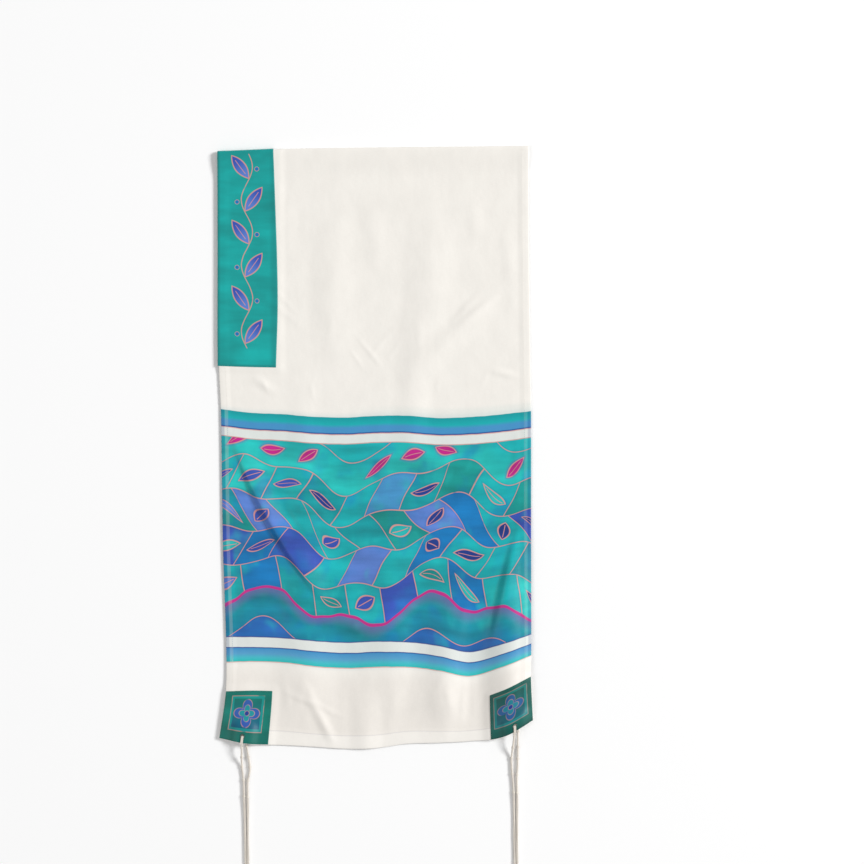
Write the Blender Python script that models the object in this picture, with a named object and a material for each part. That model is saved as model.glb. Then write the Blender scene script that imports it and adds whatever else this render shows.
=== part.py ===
"""A silk tallit prayer shawl, folded once across its length and laid flat on the floor.

Metres, +Z up. +Y points from the hems to the fold, +X to the right as the shawl is seen from above.
One wall of cloth runs along the front half, round the fold and back along the hidden half.
The neckband, the patches and the tassel loops are all made from points of that wall, moved out.
"""

import math

import bpy
import numpy as np

MM = 0.001

# Driving sizes, in millimetres
CLOTH_WIDTH = 500.0
HALF_LENGTH = 959.8
HALF_WALL = 0.6
HEM_RISE = 0.2
SIDE_HEM = 12.0
BOTTOM_HEM = 20.0
HEM_STEP = 1.0
FOLD_RADIUS = 3.0
FOLD_SETTLE = 45.0
FIRST_ALONG = FOLD_RADIUS + HALF_WALL
LAYER_GAP = 0.6
SEAM_GAP = 0.3
BACK_INSET = 1.5
BACK_SHORT = 2.5
BACK_SETTLE = 120.0
RIDGE_START = 10.0
RIDGE_GROW = 80.0
NECKBAND_WALL = 1.0
NECKBAND_HALF = 351.5
NECKBAND_OVERHANG = 2.0
PATCH_WALL = 1.0
PATCH_TOP = 882.6
PATCH_INSET = 0.6
HOLE_RADIUS = 3.2
HOLE_UP = 10.2
HOLE_SIDES = 12
LIFT_MARGIN = 1.0
LIFT_FALL = 13.0

# Where the hidden layer is lifted, in millimetres from the left edge
UNDER_NECKBAND = 95.0
UNDER_LEFT_PATCH = 78.0
LEFT_LOOPS = (28.0, 48.0)
RIGHT_LOOPS = (460.0, 482.0)
LOOPS_UP = 20.0
OUTSIDE = 50.0

# Tassels, in millimetres
LOOP_WALL = 1.2
LOOP_WIDTH = 4.0
LOOP_GAP = 0.5
LOOP_LIFT = 1.7
FIRST_KNOT_OUT = 7.5
WOUND_RADIUS = 1.8
KNOT_RADIUS = 2.6
KNOT_HALF = 2.6
HEAD_SIDES = 8
FLOOR_GAP = 0.15
STRAND_RADIUS = 0.5
STRAND_SIDES = 3
STRAND_PITCH = 1.3
STRAND_SETTLE = 26.0
STRAND_LENGTH = 205.0
STRAND_RINGS = 9
STRAND_CROWDING = 1.25
STRAND_LAYER = STRAND_PITCH - 0.1
SPREAD_FROM = 0.45
SPREAD_MORE = 0.45
HEAD_LENGTH = 77.0
HEAD_ON_FLOOR_AT = 0.42
HEAD_STRAIGHT_AT = 0.2
KNOTS_AT = (0.0, 0.18, 0.385, 0.667, 1.0)
KNOT_PROFILE = ((-1.0, WOUND_RADIUS), (-0.4, KNOT_RADIUS), (0.4, KNOT_RADIUS), (1.0, WOUND_RADIUS))
PLAIN_SIDE = HALF_WALL + HEM_RISE + LOOP_GAP + LOOP_WALL / 2.0
PAINTED_SIDE = PLAIN_SIDE + SEAM_GAP + PATCH_WALL
LOOP_MEETS_BACK = 2.0
LOOP_MEETS_HALF = 1.4
MITRE_LEAST = 0.6
CUT_OUTSIDE = 4.2
CUT_INSIDE = 2.2

# The shawl seen from above: how far along from the fold, both long edges, and the sag at each
# tenth of the width, where more sag lies nearer the hem
OUTLINE_COLUMNS = (
    "along", "left", "right", "s0", "s1", "s2", "s3", "s4", "s5", "s6", "s7", "s8", "s9", "s10",
)
OUTLINE = (
    (0.0, -251.1, 246.6, 6.6, 4.3, 2.1, 0.8, 0.0, -0.6, -1.3, -1.6, -2.1, -2.7, -3.2),
    (160.8, -250.8, 247.3, 0.5, 1.5, 1.5, 1.4, 1.4, 0.3, -0.3, 0.9, 0.0, -1.7, -4.2),
    (351.5, -250.6, 249.6, -1.0, 0.6, 1.5, 2.2, 3.0, 1.4, 0.8, 3.8, 2.5, -0.4, -5.6),
    (430.9, -247.6, 250.7, -9.5, -3.5, -1.2, 2.9, 4.2, 1.6, 1.3, 5.0, 3.5, -0.5, -6.5),
    (643.1, -244.4, 250.8, -8.4, -4.5, -2.0, 1.0, 2.5, 1.0, 1.0, 5.5, 8.0, 3.0, -8.0),
    (810.3, -239.0, 251.0, -7.2, -7.1, -5.3, -0.3, 2.3, 0.1, 1.4, 7.2, 17.2, 4.0, -13.4),
    (882.6, -239.8, 250.4, -9.6, -10.6, -8.0, 0.8, 2.9, 1.4, -1.3, 1.9, 6.1, -10.1, -33.8),
    (HALF_LENGTH, -250.5, 254.0, -11.3, -2.1, -0.3, 2.4, 5.6, 4.5, -2.4, -3.9, -6.6, -12.9, -40.2),
)

# Width of the neckband, and below it of the left patches, at distances from the fold
LEFT_PIECE = {
    "along": (0.0, 235.0, 351.5, 500.0, 800.0, 959.8),
    "width": (88.3, 94.9, 91.6, 86.0, 76.0, 78.0),
}
RIGHT_PATCH_EDGE = CLOTH_WIDTH - 67.0

# Grid lines of the wall, in millimetres from the left edge and from the fold
COLUMNS_LEFT = (0.0, SIDE_HEM, SIDE_HEM + HEM_STEP, 28.0, 48.0, 66.0)
COLUMNS_MIDDLE = (110.0, 138.0, 166.0, 195.0, 225.0, 255.0, 285.0, 315.0, 342.0, 365.0, 388.0, 411.0)
COLUMNS_RIGHT = (
    RIGHT_PATCH_EDGE, 460.0, 480.0, CLOTH_WIDTH - SIDE_HEM - HEM_STEP, CLOTH_WIDTH - SIDE_HEM, CLOTH_WIDTH,
)
ROWS = (
    12.0, 24.0, 40.0, 60.0, 85.0, 115.0, 145.0, 175.0, 205.0, 235.0, 265.0, 292.0, 320.0, NECKBAND_HALF,
    376.0, 403.0, 430.9, 455.0, 480.0, 510.0, 540.0, 570.0, 600.0, 630.0, 660.0, 690.0, 720.0, 750.0,
    780.0, 810.3, 835.0, 860.0, PATCH_TOP, 902.0, 922.0, HALF_LENGTH - BOTTOM_HEM - HEM_STEP,
    HALF_LENGTH - BOTTOM_HEM, 948.0, HALF_LENGTH,
)
FOLD_ROWS = 7

# Ridges: start, middle and end (from the centre line, from the fold), height, half width,
# how sharp the crest is (0 to 1) and where along it the ridge is tallest (0 to 1)
RIDGE_COLUMNS = ("x0", "y0", "x1", "y1", "x2", "y2", "height", "half", "sharp", "tallest")
FRONT_RIDGES = (
    (118.0, 640.0, 106.0, 810.0, 98.0, 965.0, 7.0, 46.0, 0.0, 0.8),
    (222.0, 600.0, 214.0, 800.0, 214.0, 1040.0, 15.0, 50.0, 0.0, 0.6),
    (-228.0, 465.0, -182.0, 574.0, -72.0, 750.0, 5.0, 15.0, 0.8, 0.5),
    (243.0, 600.0, 212.0, 698.0, 178.0, 812.0, 5.0, 15.0, 0.7, 0.5),
    (-224.0, 790.0, -212.0, 880.0, -213.0, 965.0, 5.0, 42.0, 0.0, 1.0),
    (-132.0, 410.0, -118.0, 700.0, -108.0, 968.0, 5.0, 58.0, 0.0, 0.8),
    (15.0, 330.0, 26.0, 660.0, 22.0, 965.0, 5.0, 52.0, 0.0, 0.7),
    (-132.0, 840.0, -90.0, 905.0, -62.0, 968.0, 3.0, 13.0, 0.6, 0.7),
    (214.0, 215.0, 130.0, 300.0, 30.0, 395.0, 3.5, 30.0, 0.2, 0.4),
    (-204.0, 366.0, -180.0, 378.0, -152.0, 398.0, 2.0, 12.0, 0.5, 0.5),
    (178.0, 358.0, 208.0, 362.0, 240.0, 369.0, 1.6, 9.0, 0.4, 0.5),
    (92.0, 30.0, 98.0, 250.0, 70.0, 430.0, 4.5, 50.0, 0.0, 0.5),
    (-62.0, 30.0, -76.0, 240.0, -58.0, 420.0, 3.5, 42.0, 0.0, 0.5),
)
BACK_RIDGES = (
    (-112.0, 300.0, -118.0, 520.0, -104.0, 780.0, 3.0, 34.0, 0.0, 0.6),
    (60.0, 180.0, 66.0, 420.0, 48.0, 700.0, 2.5, 36.0, 0.0, 0.5),
    (128.0, 560.0, 120.0, 780.0, 112.0, 962.0, 4.0, 38.0, 0.0, 0.8),
    (-20.0, 720.0, -12.0, 860.0, -16.0, 962.0, 3.0, 30.0, 0.0, 1.0),
)
RIDGE_SAMPLES = 25
CREST_POWER = 1.6
NORMAL_REACH = 0.0008
TINY = 1e-6

# Tassels: side, layer (1 front, -1 back), hole as a share of the width, then how far from the
# centre line at the first, third, fourth and last knot, the bundle, its neck, its spread, its end
TASSEL_COLUMNS = ("side", "layer", "hole", "x0", "x1", "x2", "x3", "x4", "x5", "x6", "x7")
TASSELS = {
    "tassel_front_left": (0, 1, 0.0727, -213.5, -213.8, -211.2, -210.6, -209.0, -208.0, -208.7, -210.0),
    "tassel_back_left": (0, -1, 0.0874, -206.0, -201.0, -204.3, -204.3, -204.2, -203.8, -202.6, -200.6),
    "tassel_front_right": (1, 1, 0.9410, 223.6, 219.3, 221.2, 222.8, 223.8, 224.4, 223.5, 221.9),
    "tassel_back_right": (1, -1, 0.9542, 229.6, 229.4, 228.1, 228.6, 228.5, 228.6, 230.2, 232.5),
}
# How far from the fold line each of those places lies, for the left and the right tassels, and
# how much farther for the hidden ones
TASSEL_DOWN = (
    (964.6, 992.0, 1017.7, 1041.8, 1096.4, 1151.1, 1209.0, 1252.4),
    (946.9, 983.9, 1012.9, 1035.4, 1096.4, 1151.1, 1206.0, 1244.0),
)
HIDDEN_FARTHER = (0.0, 4.0, 2.0, 2.0, 0.0, 0.0, 2.0, 3.0)
LAST_KNOT = 3
# Loose strands: place across and place up in the bundle, and how much of the full length each has
STRAND_COLUMNS = ("across", "up", "length")
STRANDS = (
    (-1, 0, 0.985), (0, 0, 1.0), (1, 0, 0.975),
    (-1, 1, 0.965), (0, 1, 0.99), (1, 1, 0.955),
    (-0.5, 2, 0.98), (0.5, 2, 0.97),
)

# Plain colours of the silks and the wool: red, green, blue and roughness
COLOURS = {
    "white_silk": (0.85, 0.82, 0.78, 0.45),
    "teal_silk": (0.015, 0.30, 0.28, 0.45),
    "dark_teal_silk": (0.01, 0.19, 0.16, 0.45),
    "cream_wool": (0.78, 0.73, 0.66, 0.85),
}


def named(columns, rows):
    """One array for each named column of a table."""
    return dict(zip(columns, np.array(rows, dtype=float).T))


def step(value):
    """A smooth rise from 0 to 1 as the value goes from 0 to 1."""
    share = np.clip(value, 0.0, 1.0)
    return share * share * (3.0 - 2.0 * share)


def curve(at, places, values):
    """A smooth curve through values at the places; each value may be an array of its own."""
    places = np.asarray(places, dtype=float)
    values = [np.asarray(value, dtype=float) + 0.0 * at for value in values]
    slopes = []
    for index in range(len(places)):
        low = max(index - 1, 0)
        high = min(index + 1, len(places) - 1)
        slopes.append((values[high] - values[low]) / (places[high] - places[low]))
    found = values[0]
    for index in range(len(places) - 1):
        span = places[index + 1] - places[index]
        t = np.clip((at - places[index]) / span, 0.0, 1.0)
        start = (1.0 + 2.0 * t) * (1.0 - t) ** 2 * values[index] + t * (1.0 - t) ** 2 * span * slopes[index]
        end = t * t * (3.0 - 2.0 * t) * values[index + 1] + t * t * (t - 1.0) * span * slopes[index + 1]
        found = np.where(at >= places[index], start + end, found)
    return found


def ridge_height(x, y, table):
    """Height of all ridges of a table at points x from the centre line and y from the fold."""
    ridges = named(RIDGE_COLUMNS, table)
    total = 0.0 * x
    for index in range(len(table)):
        row = {name: values[index] for name, values in ridges.items()}
        best = np.full_like(x, 1e9)
        place = np.zeros_like(x)
        for t in np.linspace(0.0, 1.0, RIDGE_SAMPLES):
            bend = (1.0 - t) ** 2, 2.0 * t * (1.0 - t), t * t
            px = bend[0] * row["x0"] + bend[1] * row["x1"] + bend[2] * row["x2"]
            py = bend[0] * row["y0"] + bend[1] * row["y1"] + bend[2] * row["y2"]
            away = np.hypot(x - px, y - py)
            place = np.where(away < best, t, place)
            best = np.minimum(best, away)
        rise = place / max(row["tallest"], TINY)
        fall = (1.0 - place) / max(1.0 - row["tallest"], TINY) if row["tallest"] < 1.0 else 1.0 + 0.0 * place
        grown = step(np.minimum(rise, fall))
        near = np.clip(1.0 - best / row["half"], 0.0, 1.0)
        soft = step(near)
        crest = near ** CREST_POWER
        total = total + row["height"] * grown * ((1.0 - row["sharp"]) * soft + row["sharp"] * crest)
    return total


def half_wall(across, along):
    """Half the thickness of the wall, which is more in the hems."""
    from_side = np.minimum(across, 1.0 - across) * CLOTH_WIDTH
    in_side = 1.0 - np.clip((from_side - SIDE_HEM) / HEM_STEP, 0.0, 1.0)
    in_bottom = 1.0 - np.clip((HALF_LENGTH - along - BOTTOM_HEM) / HEM_STEP, 0.0, 1.0)
    return HALF_WALL + HEM_RISE * np.maximum(in_side, in_bottom)


def zone(across, along, left, right, near, far):
    """One inside a zone of the sheet, falling to zero outside it."""
    x = across * CLOTH_WIDTH
    dx = np.maximum(np.maximum(left - x, x - right), 0.0)
    dy = np.maximum(np.maximum(near - along, along - far), 0.0)
    return 1.0 - step((np.hypot(dx, dy) - LIFT_MARGIN) / LIFT_FALL)


def loop_zone(across, along):
    """Where tassel loops pass between and under the layers, at both corners."""
    near = HALF_LENGTH - LOOPS_UP
    left = zone(across, along, *LEFT_LOOPS, near, HALF_LENGTH)
    right = zone(across, along, *RIGHT_LOOPS, near, HALF_LENGTH)
    return np.maximum(left, right)


def plan(across, along):
    """Place of a point of the sheet seen from above, from the centre line and the fold."""
    outline = named(OUTLINE_COLUMNS, OUTLINE)
    places = outline["along"]
    left = curve(along, places, outline["left"])
    right = curve(along, places, outline["right"])
    tenths = [curve(along, places, outline[name]) for name in OUTLINE_COLUMNS if name.startswith("s")]
    sag = curve(across, np.linspace(0.0, 1.0, len(tenths)), tenths)
    return left + (right - left) * across, along + sag


def back_height(across, along):
    """Height of the middle of the hidden layer's wall over the floor."""
    x, y = plan(across, along)
    under_band = zone(across, along, -OUTSIDE, UNDER_NECKBAND, -OUTSIDE, NECKBAND_HALF)
    under_left = zone(across, along, -OUTSIDE, UNDER_LEFT_PATCH, PATCH_TOP, HALF_LENGTH)
    under_right = zone(across, along, RIGHT_PATCH_EDGE, CLOTH_WIDTH + OUTSIDE, PATCH_TOP, HALF_LENGTH)
    patches = np.maximum(under_left, under_right)
    lift = (NECKBAND_WALL + SEAM_GAP) * under_band + (PATCH_WALL + SEAM_GAP) * patches
    lift = lift + (LOOP_WALL + LOOP_GAP + FLOOR_GAP) * loop_zone(across, along)
    free = step((along - RIDGE_START) / RIDGE_GROW)
    return half_wall(across, along) + lift + free * ridge_height(x, y, BACK_RIDGES)


def front_height(across, along):
    """Height of the middle of the front layer's wall over the floor."""
    x, y = plan(across, along)
    apart = 2.0 * half_wall(across, along) + LAYER_GAP + LOOP_LIFT * loop_zone(across, along)
    by_fold = 1.0 - step((along - FOLD_RADIUS) / FOLD_SETTLE)
    apart = apart + (2.0 * FOLD_RADIUS - apart) * by_fold
    free = step((along - RIDGE_START) / RIDGE_GROW)
    return back_height(across, along) + apart + free * ridge_height(x, y, FRONT_RIDGES)


def along_of(row):
    """Distance from the fold of a row number."""
    return FIRST_ALONG + np.clip(np.abs(row) - 1.0, 0.0, 1.0) * (HALF_LENGTH - FIRST_ALONG)


def middle(across, row):
    """Middle of the wall; row runs from -2, the hidden hem, over -1 to 1, the fold, to 2, the front hem."""
    across, row = np.broadcast_arrays(np.asarray(across, dtype=float), np.asarray(row, dtype=float))
    along = along_of(row)
    is_back = row < 0.0
    x, y = plan(across, along - np.where(is_back, BACK_SHORT * along / HALF_LENGTH, 0.0))
    settled = step(along / BACK_SETTLE)
    x = x + np.where(is_back, (1.0 - 2.0 * across) * BACK_INSET * settled, 0.0)
    low = back_height(across, along)
    high = front_height(across, along)
    turn = np.clip(row, -1.0, 1.0) * math.pi / 2.0
    bulge = FOLD_RADIUS * np.cos(turn)
    round_fold = 0.5 * (low + high) + 0.5 * (high - low) * np.sin(turn)
    z = np.where(np.abs(row) > 1.0, np.where(is_back, low, high), round_fold)
    return np.stack([x, bulge - y, z], axis=-1)


def outward(across, row):
    """Outward direction of the wall: up on the front half, down on the hidden half."""
    along_row = middle(across, row + NORMAL_REACH) - middle(across, row - NORMAL_REACH)
    along_width = middle(across + NORMAL_REACH, row) - middle(across - NORMAL_REACH, row)
    normal = np.cross(along_row, along_width)
    return normal / np.linalg.norm(normal, axis=-1, keepdims=True)


def row_of(along):
    """Row number of a distance from the fold, on the front half."""
    return 1.0 + (along - FIRST_ALONG) / (HALF_LENGTH - FIRST_ALONG)


def sheet_rows(limit_along):
    """Row numbers of the grid, from the hidden half over the fold to the front half."""
    front = [row_of(along) for along in ROWS if along <= limit_along + TINY]
    fold = list(np.linspace(-1.0, 1.0, FOLD_ROWS))
    return np.array([-value for value in reversed(front)] + fold + front)


def column_grid(rows):
    """Share of the width of every grid line in every row; one line follows the neckband's edge."""
    inner = curve(along_of(rows), LEFT_PIECE["along"], LEFT_PIECE["width"])
    fixed_left = [np.full_like(rows, value) for value in COLUMNS_LEFT]
    others = [np.full_like(rows, value) for value in COLUMNS_MIDDLE + COLUMNS_RIGHT]
    return np.stack(fixed_left + [inner] + others, axis=1) / CLOTH_WIDTH


def on_facet(across, row):
    """Middle and outward direction at a point of the grid's own flat facets near a corner."""
    lines = np.array(COLUMNS_LEFT if across < 0.5 else COLUMNS_RIGHT) / CLOTH_WIDTH
    rows = sheet_rows(HALF_LENGTH)
    column = int(np.clip(np.searchsorted(lines, across) - 1, 0, len(lines) - 2))
    line = int(np.clip(np.searchsorted(rows, row) - 1, 0, len(rows) - 2))
    at_column = (across - lines[column]) / (lines[column + 1] - lines[column])
    at_line = (row - rows[line]) / (rows[line + 1] - rows[line])
    found = []
    for measure in (middle, outward):
        columns = lines[[column, column + 1, column, column + 1]]
        corner = measure(columns, rows[[line, line, line + 1, line + 1]])
        near = corner[0] + (corner[1] - corner[0]) * at_column
        far = corner[2] + (corner[3] - corner[2]) * at_column
        found.append(near + (far - near) * at_line)
    return found


def wall_between(across, rows, low, high):
    """Vertices and faces of a wall over a grid, between two offsets from the middle."""
    grid_rows = np.broadcast_to(rows[:, None], across.shape)
    points = middle(across, grid_rows)
    normals = outward(across, grid_rows)
    outer = points + normals * high[..., None]
    inner = points + normals * low[..., None]
    count_rows, count_columns = across.shape
    count = count_rows * count_columns
    verts = np.concatenate([outer.reshape(-1, 3), inner.reshape(-1, 3)])
    faces = []
    for i in range(count_rows - 1):
        for j in range(count_columns - 1):
            a = i * count_columns + j
            b = a + 1
            c = a + count_columns
            d = c + 1
            faces += [(a, b, d), (a, d, c)]
            faces += [(a + count, d + count, b + count), (a + count, c + count, d + count)]
    rim = list(range(count_columns))
    rim += [i * count_columns + count_columns - 1 for i in range(1, count_rows)]
    rim += [(count_rows - 1) * count_columns + j for j in range(count_columns - 2, -1, -1)]
    rim += [i * count_columns for i in range(count_rows - 2, 0, -1)]
    for index, a in enumerate(rim):
        b = rim[(index + 1) % len(rim)]
        faces += [(a, a + count, b + count), (a, b + count, b)]
    return verts, [face[::-1] for face in faces]


def make_object(name, verts, faces, material):
    """A mesh object from millimetre points, with one material, facing out."""
    mesh = bpy.data.meshes.new(name)
    mesh.from_pydata((np.asarray(verts) * MM).tolist(), [], faces)
    mesh.validate()
    mesh.materials.append(material)
    thing = bpy.data.objects.new(name, mesh)
    bpy.context.scene.collection.objects.link(thing)
    return thing


def make_material(name):
    """A plain material with its own colour and roughness."""
    red, green, blue, rough = COLOURS[name]
    material = bpy.data.materials.new(name)
    material.use_nodes = True
    shader = material.node_tree.nodes["Principled BSDF"]
    shader.inputs["Base Color"].default_value = (red, green, blue, 1.0)
    shader.inputs["Roughness"].default_value = rough
    return material


def combine(parts):
    """One list of vertices and faces from several."""
    verts = []
    faces = []
    for part_verts, part_faces in parts:
        start = len(verts)
        verts += [tuple(vert) for vert in part_verts]
        faces += [tuple(index + start for index in face) for face in part_faces]
    return verts, faces


def cut_or_join(thing, operation, helper):
    """Cut a hidden helper out of a thing, or join it on."""
    modifier = thing.modifiers.new(helper.name, "BOOLEAN")
    modifier.operation = operation
    modifier.solver = "EXACT"
    modifier.object = helper
    helper.hide_render = True
    helper.display_type = "WIRE"


def tube(path, radii, sides, turn):
    """A closed tube of round sections along a path that runs mostly level."""
    path = np.asarray(path, dtype=float)
    ahead = np.gradient(path, axis=0)
    ahead = ahead / np.linalg.norm(ahead, axis=1, keepdims=True)
    side = np.cross(ahead, np.array([0.0, 0.0, 1.0]))
    side = side / np.linalg.norm(side, axis=1, keepdims=True)
    up = np.cross(side, ahead)
    angles = turn + np.arange(sides) * 2.0 * math.pi / sides
    rings = []
    for index in range(len(path)):
        spokes = np.cos(angles)[:, None] * side[index] + np.sin(angles)[:, None] * up[index]
        rings.append(path[index] + radii[index] * spokes)
    verts = np.concatenate(rings)
    faces = [tuple(range(sides))[::-1]]
    for index in range(len(path) - 1):
        for k in range(sides):
            a = index * sides + k
            b = index * sides + (k + 1) % sides
            faces.append((a, b, b + sides, a + sides))
    last = (len(path) - 1) * sides
    faces.append(tuple(range(last, last + sides)))
    return verts, [face[::-1] for face in faces]


def loop_points(hole, layer, first_knot):
    """Middle of the loop, from the hole over the hem to the first knot and back under it."""
    rows = np.linspace(row_of(HALF_LENGTH - HOLE_UP), 2.0, 4) * layer
    base, normal = np.array([on_facet(hole, row) for row in rows]).transpose(1, 0, 2)
    outer = base + normal * PAINTED_SIDE
    inner = base - normal * PLAIN_SIDE
    outer[0, :2] = base[0, :2]
    inner[0, :2] = base[0, :2]
    upper, lower = (outer, inner) if layer > 0 else (inner, outer)
    ahead = first_knot - base[0]
    ahead[2] = 0.0
    ahead = ahead / np.linalg.norm(ahead)
    meeting = first_knot - ahead * LOOP_MEETS_BACK
    over = meeting + np.array([0.0, 0.0, LOOP_MEETS_HALF])
    under = meeting - np.array([0.0, 0.0, LOOP_MEETS_HALF])
    up = normal.mean(axis=0) * layer
    up = up - ahead * (up @ ahead)
    up = up / np.linalg.norm(up)
    return np.concatenate([upper, [over, first_knot, under], lower[::-1]]), ahead, up


def loop_band(points, ahead, up):
    """A flat band round the closed loop of points, all in the plane of two directions."""
    side = np.cross(ahead, up)
    start = points[0]
    flat = start + np.outer((points - start) @ ahead, ahead) + np.outer((points - start) @ up, up)
    forward = np.roll(flat, -1, axis=0) - flat
    forward = forward / np.linalg.norm(forward, axis=1, keepdims=True)
    backward = np.roll(forward, 1, axis=0)
    tangent = forward + backward
    tangent = tangent / np.linalg.norm(tangent, axis=1, keepdims=True)
    normal = np.cross(tangent, side)
    widen = 1.0 / np.maximum(np.sum(tangent * forward, axis=1, keepdims=True), MITRE_LEAST)
    verts = []
    for index in range(len(flat)):
        for out, across in ((1, 1), (1, -1), (-1, -1), (-1, 1)):
            shift = normal[index] * widen[index] * out * LOOP_WALL / 2.0 + side * across * LOOP_WIDTH / 2.0
            verts.append(flat[index] + shift)
    faces = []
    count = len(flat)
    for index in range(count):
        for k in range(4):
            a = index * 4 + k
            b = index * 4 + (k + 1) % 4
            after = (index + 1) % count * 4
            faces.append((a, b, after + (k + 1) % 4, after + k))
    return np.array(verts), faces


def tassel_places(row):
    """How far from the fold each named place of a tassel lies."""
    down = np.array(TASSEL_DOWN[row["side"]])
    return down if row["layer"] > 0 else down + np.array(HIDDEN_FARTHER)


def tassel_path(row, shares):
    """Middle of a tassel at shares of the way from its first knot to its end, on the level."""
    places = tassel_places(row)
    at = places[0] + np.asarray(shares) * (places[-1] - places[0])
    return curve(at, places, [row[f"x{index}"] for index in range(len(places))]), -at


def last_knot_share(row):
    """Share of the way from the first knot to the end at which the last knot sits."""
    places = tassel_places(row)
    return (places[LAST_KNOT] - places[0]) / (places[-1] - places[0])


def first_knot_of(row):
    """Place of the first knot, just off the hem."""
    hem = on_facet(row["hole"], 2.0 * row["layer"])[0]
    x = tassel_path(row, np.array([0.0]))[0][0]
    height = hem[2] + row["layer"] * (PAINTED_SIDE - PLAIN_SIDE) / 2.0
    return np.array([x, hem[1] - FIRST_KNOT_OUT, height])


def head_parts(row):
    """The wound head with its five knots, from the first knot to the last."""
    start = first_knot_of(row)
    shifts, widths = np.array(KNOT_PROFILE).T
    places = (np.array(KNOTS_AT)[:, None] + shifts * KNOT_HALF / HEAD_LENGTH).ravel()
    radii = np.tile(widths, len(KNOTS_AT))
    x, y = tassel_path(row, places * last_knot_share(row))
    rest = KNOT_RADIUS + FLOOR_GAP
    z = start[2] + (rest - start[2]) * step(places / HEAD_ON_FLOOR_AT)
    blend = 1.0 - step(places / HEAD_STRAIGHT_AT)
    y = y + (start[1] - tassel_path(row, np.array([0.0]))[1][0]) * blend
    return tube(np.stack([x, y, z], axis=1), radii, HEAD_SIDES, math.pi / HEAD_SIDES)


def strand_parts(row):
    """Eight loose strands, each rooted in the last knot."""
    strands = named(STRAND_COLUMNS, STRANDS)
    share = last_knot_share(row)
    rest = KNOT_RADIUS + FLOOR_GAP
    parts = []
    for across, up, length in zip(strands["across"], strands["up"], strands["length"]):
        run = np.linspace(0.0, 1.0, STRAND_RINGS) ** STRAND_CROWDING
        x, y = tassel_path(row, share + run * (length - share))
        spread = 1.0 + SPREAD_MORE * step((run - SPREAD_FROM) / (1.0 - SPREAD_FROM))
        low = STRAND_RADIUS + FLOOR_GAP + up * STRAND_LAYER
        high = rest + (up - 1.0) * STRAND_LAYER
        z = high + (low - high) * step(run * STRAND_LENGTH / STRAND_SETTLE)
        x = x + across * STRAND_PITCH * spread
        radii = np.full(len(x), STRAND_RADIUS)
        parts.append(tube(np.stack([x, y, z], axis=1), radii, STRAND_SIDES, math.pi / 2.0))
    return parts


def hole_cutter(holes):
    """Upright cylinders through the corners, one for each hole given as (share, layer)."""
    parts = []
    for hole, layer in holes:
        centre = on_facet(hole, row_of(HALF_LENGTH - HOLE_UP) * layer)[0]
        low, high = (-CUT_INSIDE, CUT_OUTSIDE) if layer > 0 else (-CUT_OUTSIDE, CUT_INSIDE)
        angles = np.arange(HOLE_SIDES) * 2.0 * math.pi / HOLE_SIDES
        ring = np.stack([np.cos(angles), np.sin(angles)], axis=1) * HOLE_RADIUS + centre[:2]
        bottom = np.column_stack([ring, np.full(HOLE_SIDES, centre[2] + low)])
        top = np.column_stack([ring, np.full(HOLE_SIDES, centre[2] + high)])
        faces = [tuple(range(HOLE_SIDES))[::-1], tuple(range(HOLE_SIDES, 2 * HOLE_SIDES))]
        for k in range(HOLE_SIDES):
            after = (k + 1) % HOLE_SIDES
            faces.append((k, after, after + HOLE_SIDES, k + HOLE_SIDES))
        parts.append((np.concatenate([bottom, top]), faces))
    return combine(parts)


def clear_scene():
    """Remove everything that the scene holds."""
    for thing in list(bpy.data.objects):
        bpy.data.objects.remove(thing, do_unlink=True)


def build_cloth(material, tassels):
    """The folded wall of white silk, with its raised hems and its four holes."""
    rows = sheet_rows(HALF_LENGTH)
    across = column_grid(rows)
    half = half_wall(across, along_of(rows)[:, None] + 0.0 * across)
    verts, faces = wall_between(across, rows, -half, half)
    cloth = make_object("cloth", verts, faces, material)
    holes = [(row["hole"], row["layer"]) for row in tassels.values()]
    cutter = make_object("holes_in_cloth", *hole_cutter(holes), material)
    cut_or_join(cloth, "DIFFERENCE", cutter)
    return cloth


def build_neckband(material):
    """The strip over the fold along the left edge, on the outside of both halves."""
    rows = sheet_rows(NECKBAND_HALF)
    across = column_grid(rows)[:, : len(COLUMNS_LEFT) + 1].copy()
    low = half_wall(across, along_of(rows)[:, None] + 0.0 * across) + SEAM_GAP
    across[:, 0] = -NECKBAND_OVERHANG / CLOTH_WIDTH
    return make_object("neckband", *wall_between(across, rows, low, low + NECKBAND_WALL), material)


def build_patch(name, layer, is_right, hole, material):
    """A square patch on the outside of one corner, with a hole for its tassel."""
    rows = np.array([row for row in sheet_rows(HALF_LENGTH) if row * layer > 0.0])
    rows = rows[along_of(rows) > PATCH_TOP - TINY]
    columns = column_grid(rows)
    chosen = slice(-len(COLUMNS_RIGHT), None) if is_right else slice(len(COLUMNS_LEFT) + 1)
    across = columns[:, chosen].copy()
    low = half_wall(across, along_of(rows)[:, None] + 0.0 * across) + SEAM_GAP
    inset = PATCH_INSET / CLOTH_WIDTH
    if is_right:
        across[:, -1] -= inset
    else:
        across[:, 0] += inset
    edge = PATCH_INSET / HALF_LENGTH
    rows = np.clip(rows, -2.0 + edge, 2.0 - edge)
    patch = make_object(name, *wall_between(across, rows, low, low + PATCH_WALL), material)
    cutter = make_object(f"hole_in_{name}", *hole_cutter([(hole, layer)]), material)
    cut_or_join(patch, "DIFFERENCE", cutter)
    return patch


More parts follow.
